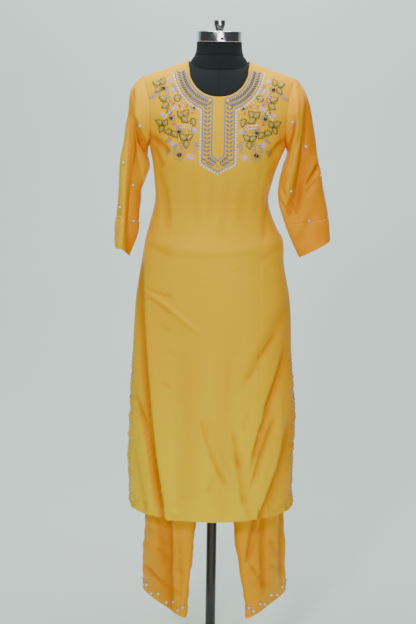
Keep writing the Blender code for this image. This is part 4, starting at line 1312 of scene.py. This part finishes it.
def turned(name, profile, finish, *nodes, steps=96):
    """A turned solid from radius and height points down its outer side."""
    radius, height = np.array(profile)[::-1].T[..., None]
    angle = 2 * np.pi * np.arange(steps) / steps
    rings = np.stack([radius * np.cos(angle), radius * np.sin(angle), height + 0 * angle], -1)
    piece = solid(name, rings, finish, *nodes)
    piece.data.set_sharp_from_angle(angle=SHARP)
    return piece


def rounded(corners, radius, steps=5):
    """Profile through corners, each rounded off but the first and the last."""
    path = [corners[0]]
    for before, corner, after in zip(*(np.array(corners[i:]) for i in range(3))):
        start, end = (corner + unit(other - corner) * radius for other in (before, after))
        for t in np.linspace(0, 1, steps):
            path.append(tuple(start * (1 - t) ** 2 + corner * 2 * t * (1 - t) + end * t * t))
    return [*path, corners[-1]]


chrome, ink, shader = material("chrome", (0.78, 0.79, 0.80), 0.14, Metallic=1.0)
(0.08 + noise(ink, (40, 40, 160), 3) * 0.16).into(shader, "Roughness")

CAP_LOW, CAP_HIGH, CAP_RADIUS = 1.637, 1.662, 0.0545
corners = [(AXIS, CAP_HIGH), (CAP_RADIUS, CAP_HIGH), (CAP_RADIUS, CAP_LOW), (AXIS, CAP_LOW)]
cap = turned("cap_turned", rounded(corners, 0.0022), chrome, "neck_cap")

SCREW_TURN, SCREW_HEIGHT, SCREW_RADIUS = math.radians(-84), 1.6445, 0.0034
blued = material("blued_steel", (0.004, 0.004, 0.005), 0.6, Specular_IOR_Level=0.1)[0]
head = [(0.0003, 0.0012), (SCREW_RADIUS, 0.0010), (SCREW_RADIUS, 0)]
screw = turned("grub_screw", head, blued, steps=16)
screw.rotation_euler = (math.pi / 2, 0, SCREW_TURN + math.pi / 2)
screw.location = (
    CAP_RADIUS * math.cos(SCREW_TURN),
    CAP_RADIUS * math.sin(SCREW_TURN),
    SCREW_HEIGHT,
)

KNOB_FOOT = CAP_HIGH + GAP
KNOB = [(AXIS, 0.0255), (0.0140, 0.0255), (0.0140, 0.0145), (0.0088, 0.0012), (0.0088, 0), (AXIS, 0)]
corners = [(radius, KNOB_FOOT + height) for radius, height in KNOB]
knob = turned("knob_turned", rounded(corners, 0.0005), chrome, "neck_knob")

# The stand: a black enamelled tube that runs up into the torso, held by a collar at the top and a
# socket on the round base. The base is a plain weighted disc.

enamel, ink, shader = material("stand_enamel", (0.010, 0.010, 0.011), 0.30, Coat_Weight=0.3)
scuff = noise(ink, (60, 60, 25), 5)
(0.22 + scuff * 0.22).into(shader, "Roughness")
scuff.mix((0.008, 0.008, 0.009), (0.016, 0.016, 0.017)).into(shader, "Base Color")

BASE_RADIUS, BASE_TOP = 0.160, 0.012
corners = [(AXIS, BASE_TOP), (BASE_RADIUS, BASE_TOP), (BASE_RADIUS, 0), (AXIS, 0)]
base = turned("base_disc", rounded(corners, 0.003), enamel, "stand_base", steps=160)

POLE_RADIUS, POLE_LOW, POLE_HIGH = 0.0135, BASE_TOP + GAP, FORM_BOTTOM - GAP
tube = [(AXIS, POLE_HIGH), (POLE_RADIUS, POLE_HIGH), (POLE_RADIUS, POLE_LOW), (AXIS, POLE_LOW)]
pole = turned("pole_tube", tube, enamel, "stand_pole")

for name, node, low, high, radius in (
    ("socket_ring", "base_socket", POLE_LOW, POLE_LOW + 0.045, 0.024),
    ("collar_ring", "top_collar", POLE_HIGH - 0.030, POLE_HIGH, 0.030),
):
    bore = POLE_RADIUS + GAP
    corners = [(bore, high), (radius, high), (radius, low), (bore, low)]
    turned(name, rounded(corners, 0.0025), enamel, node)
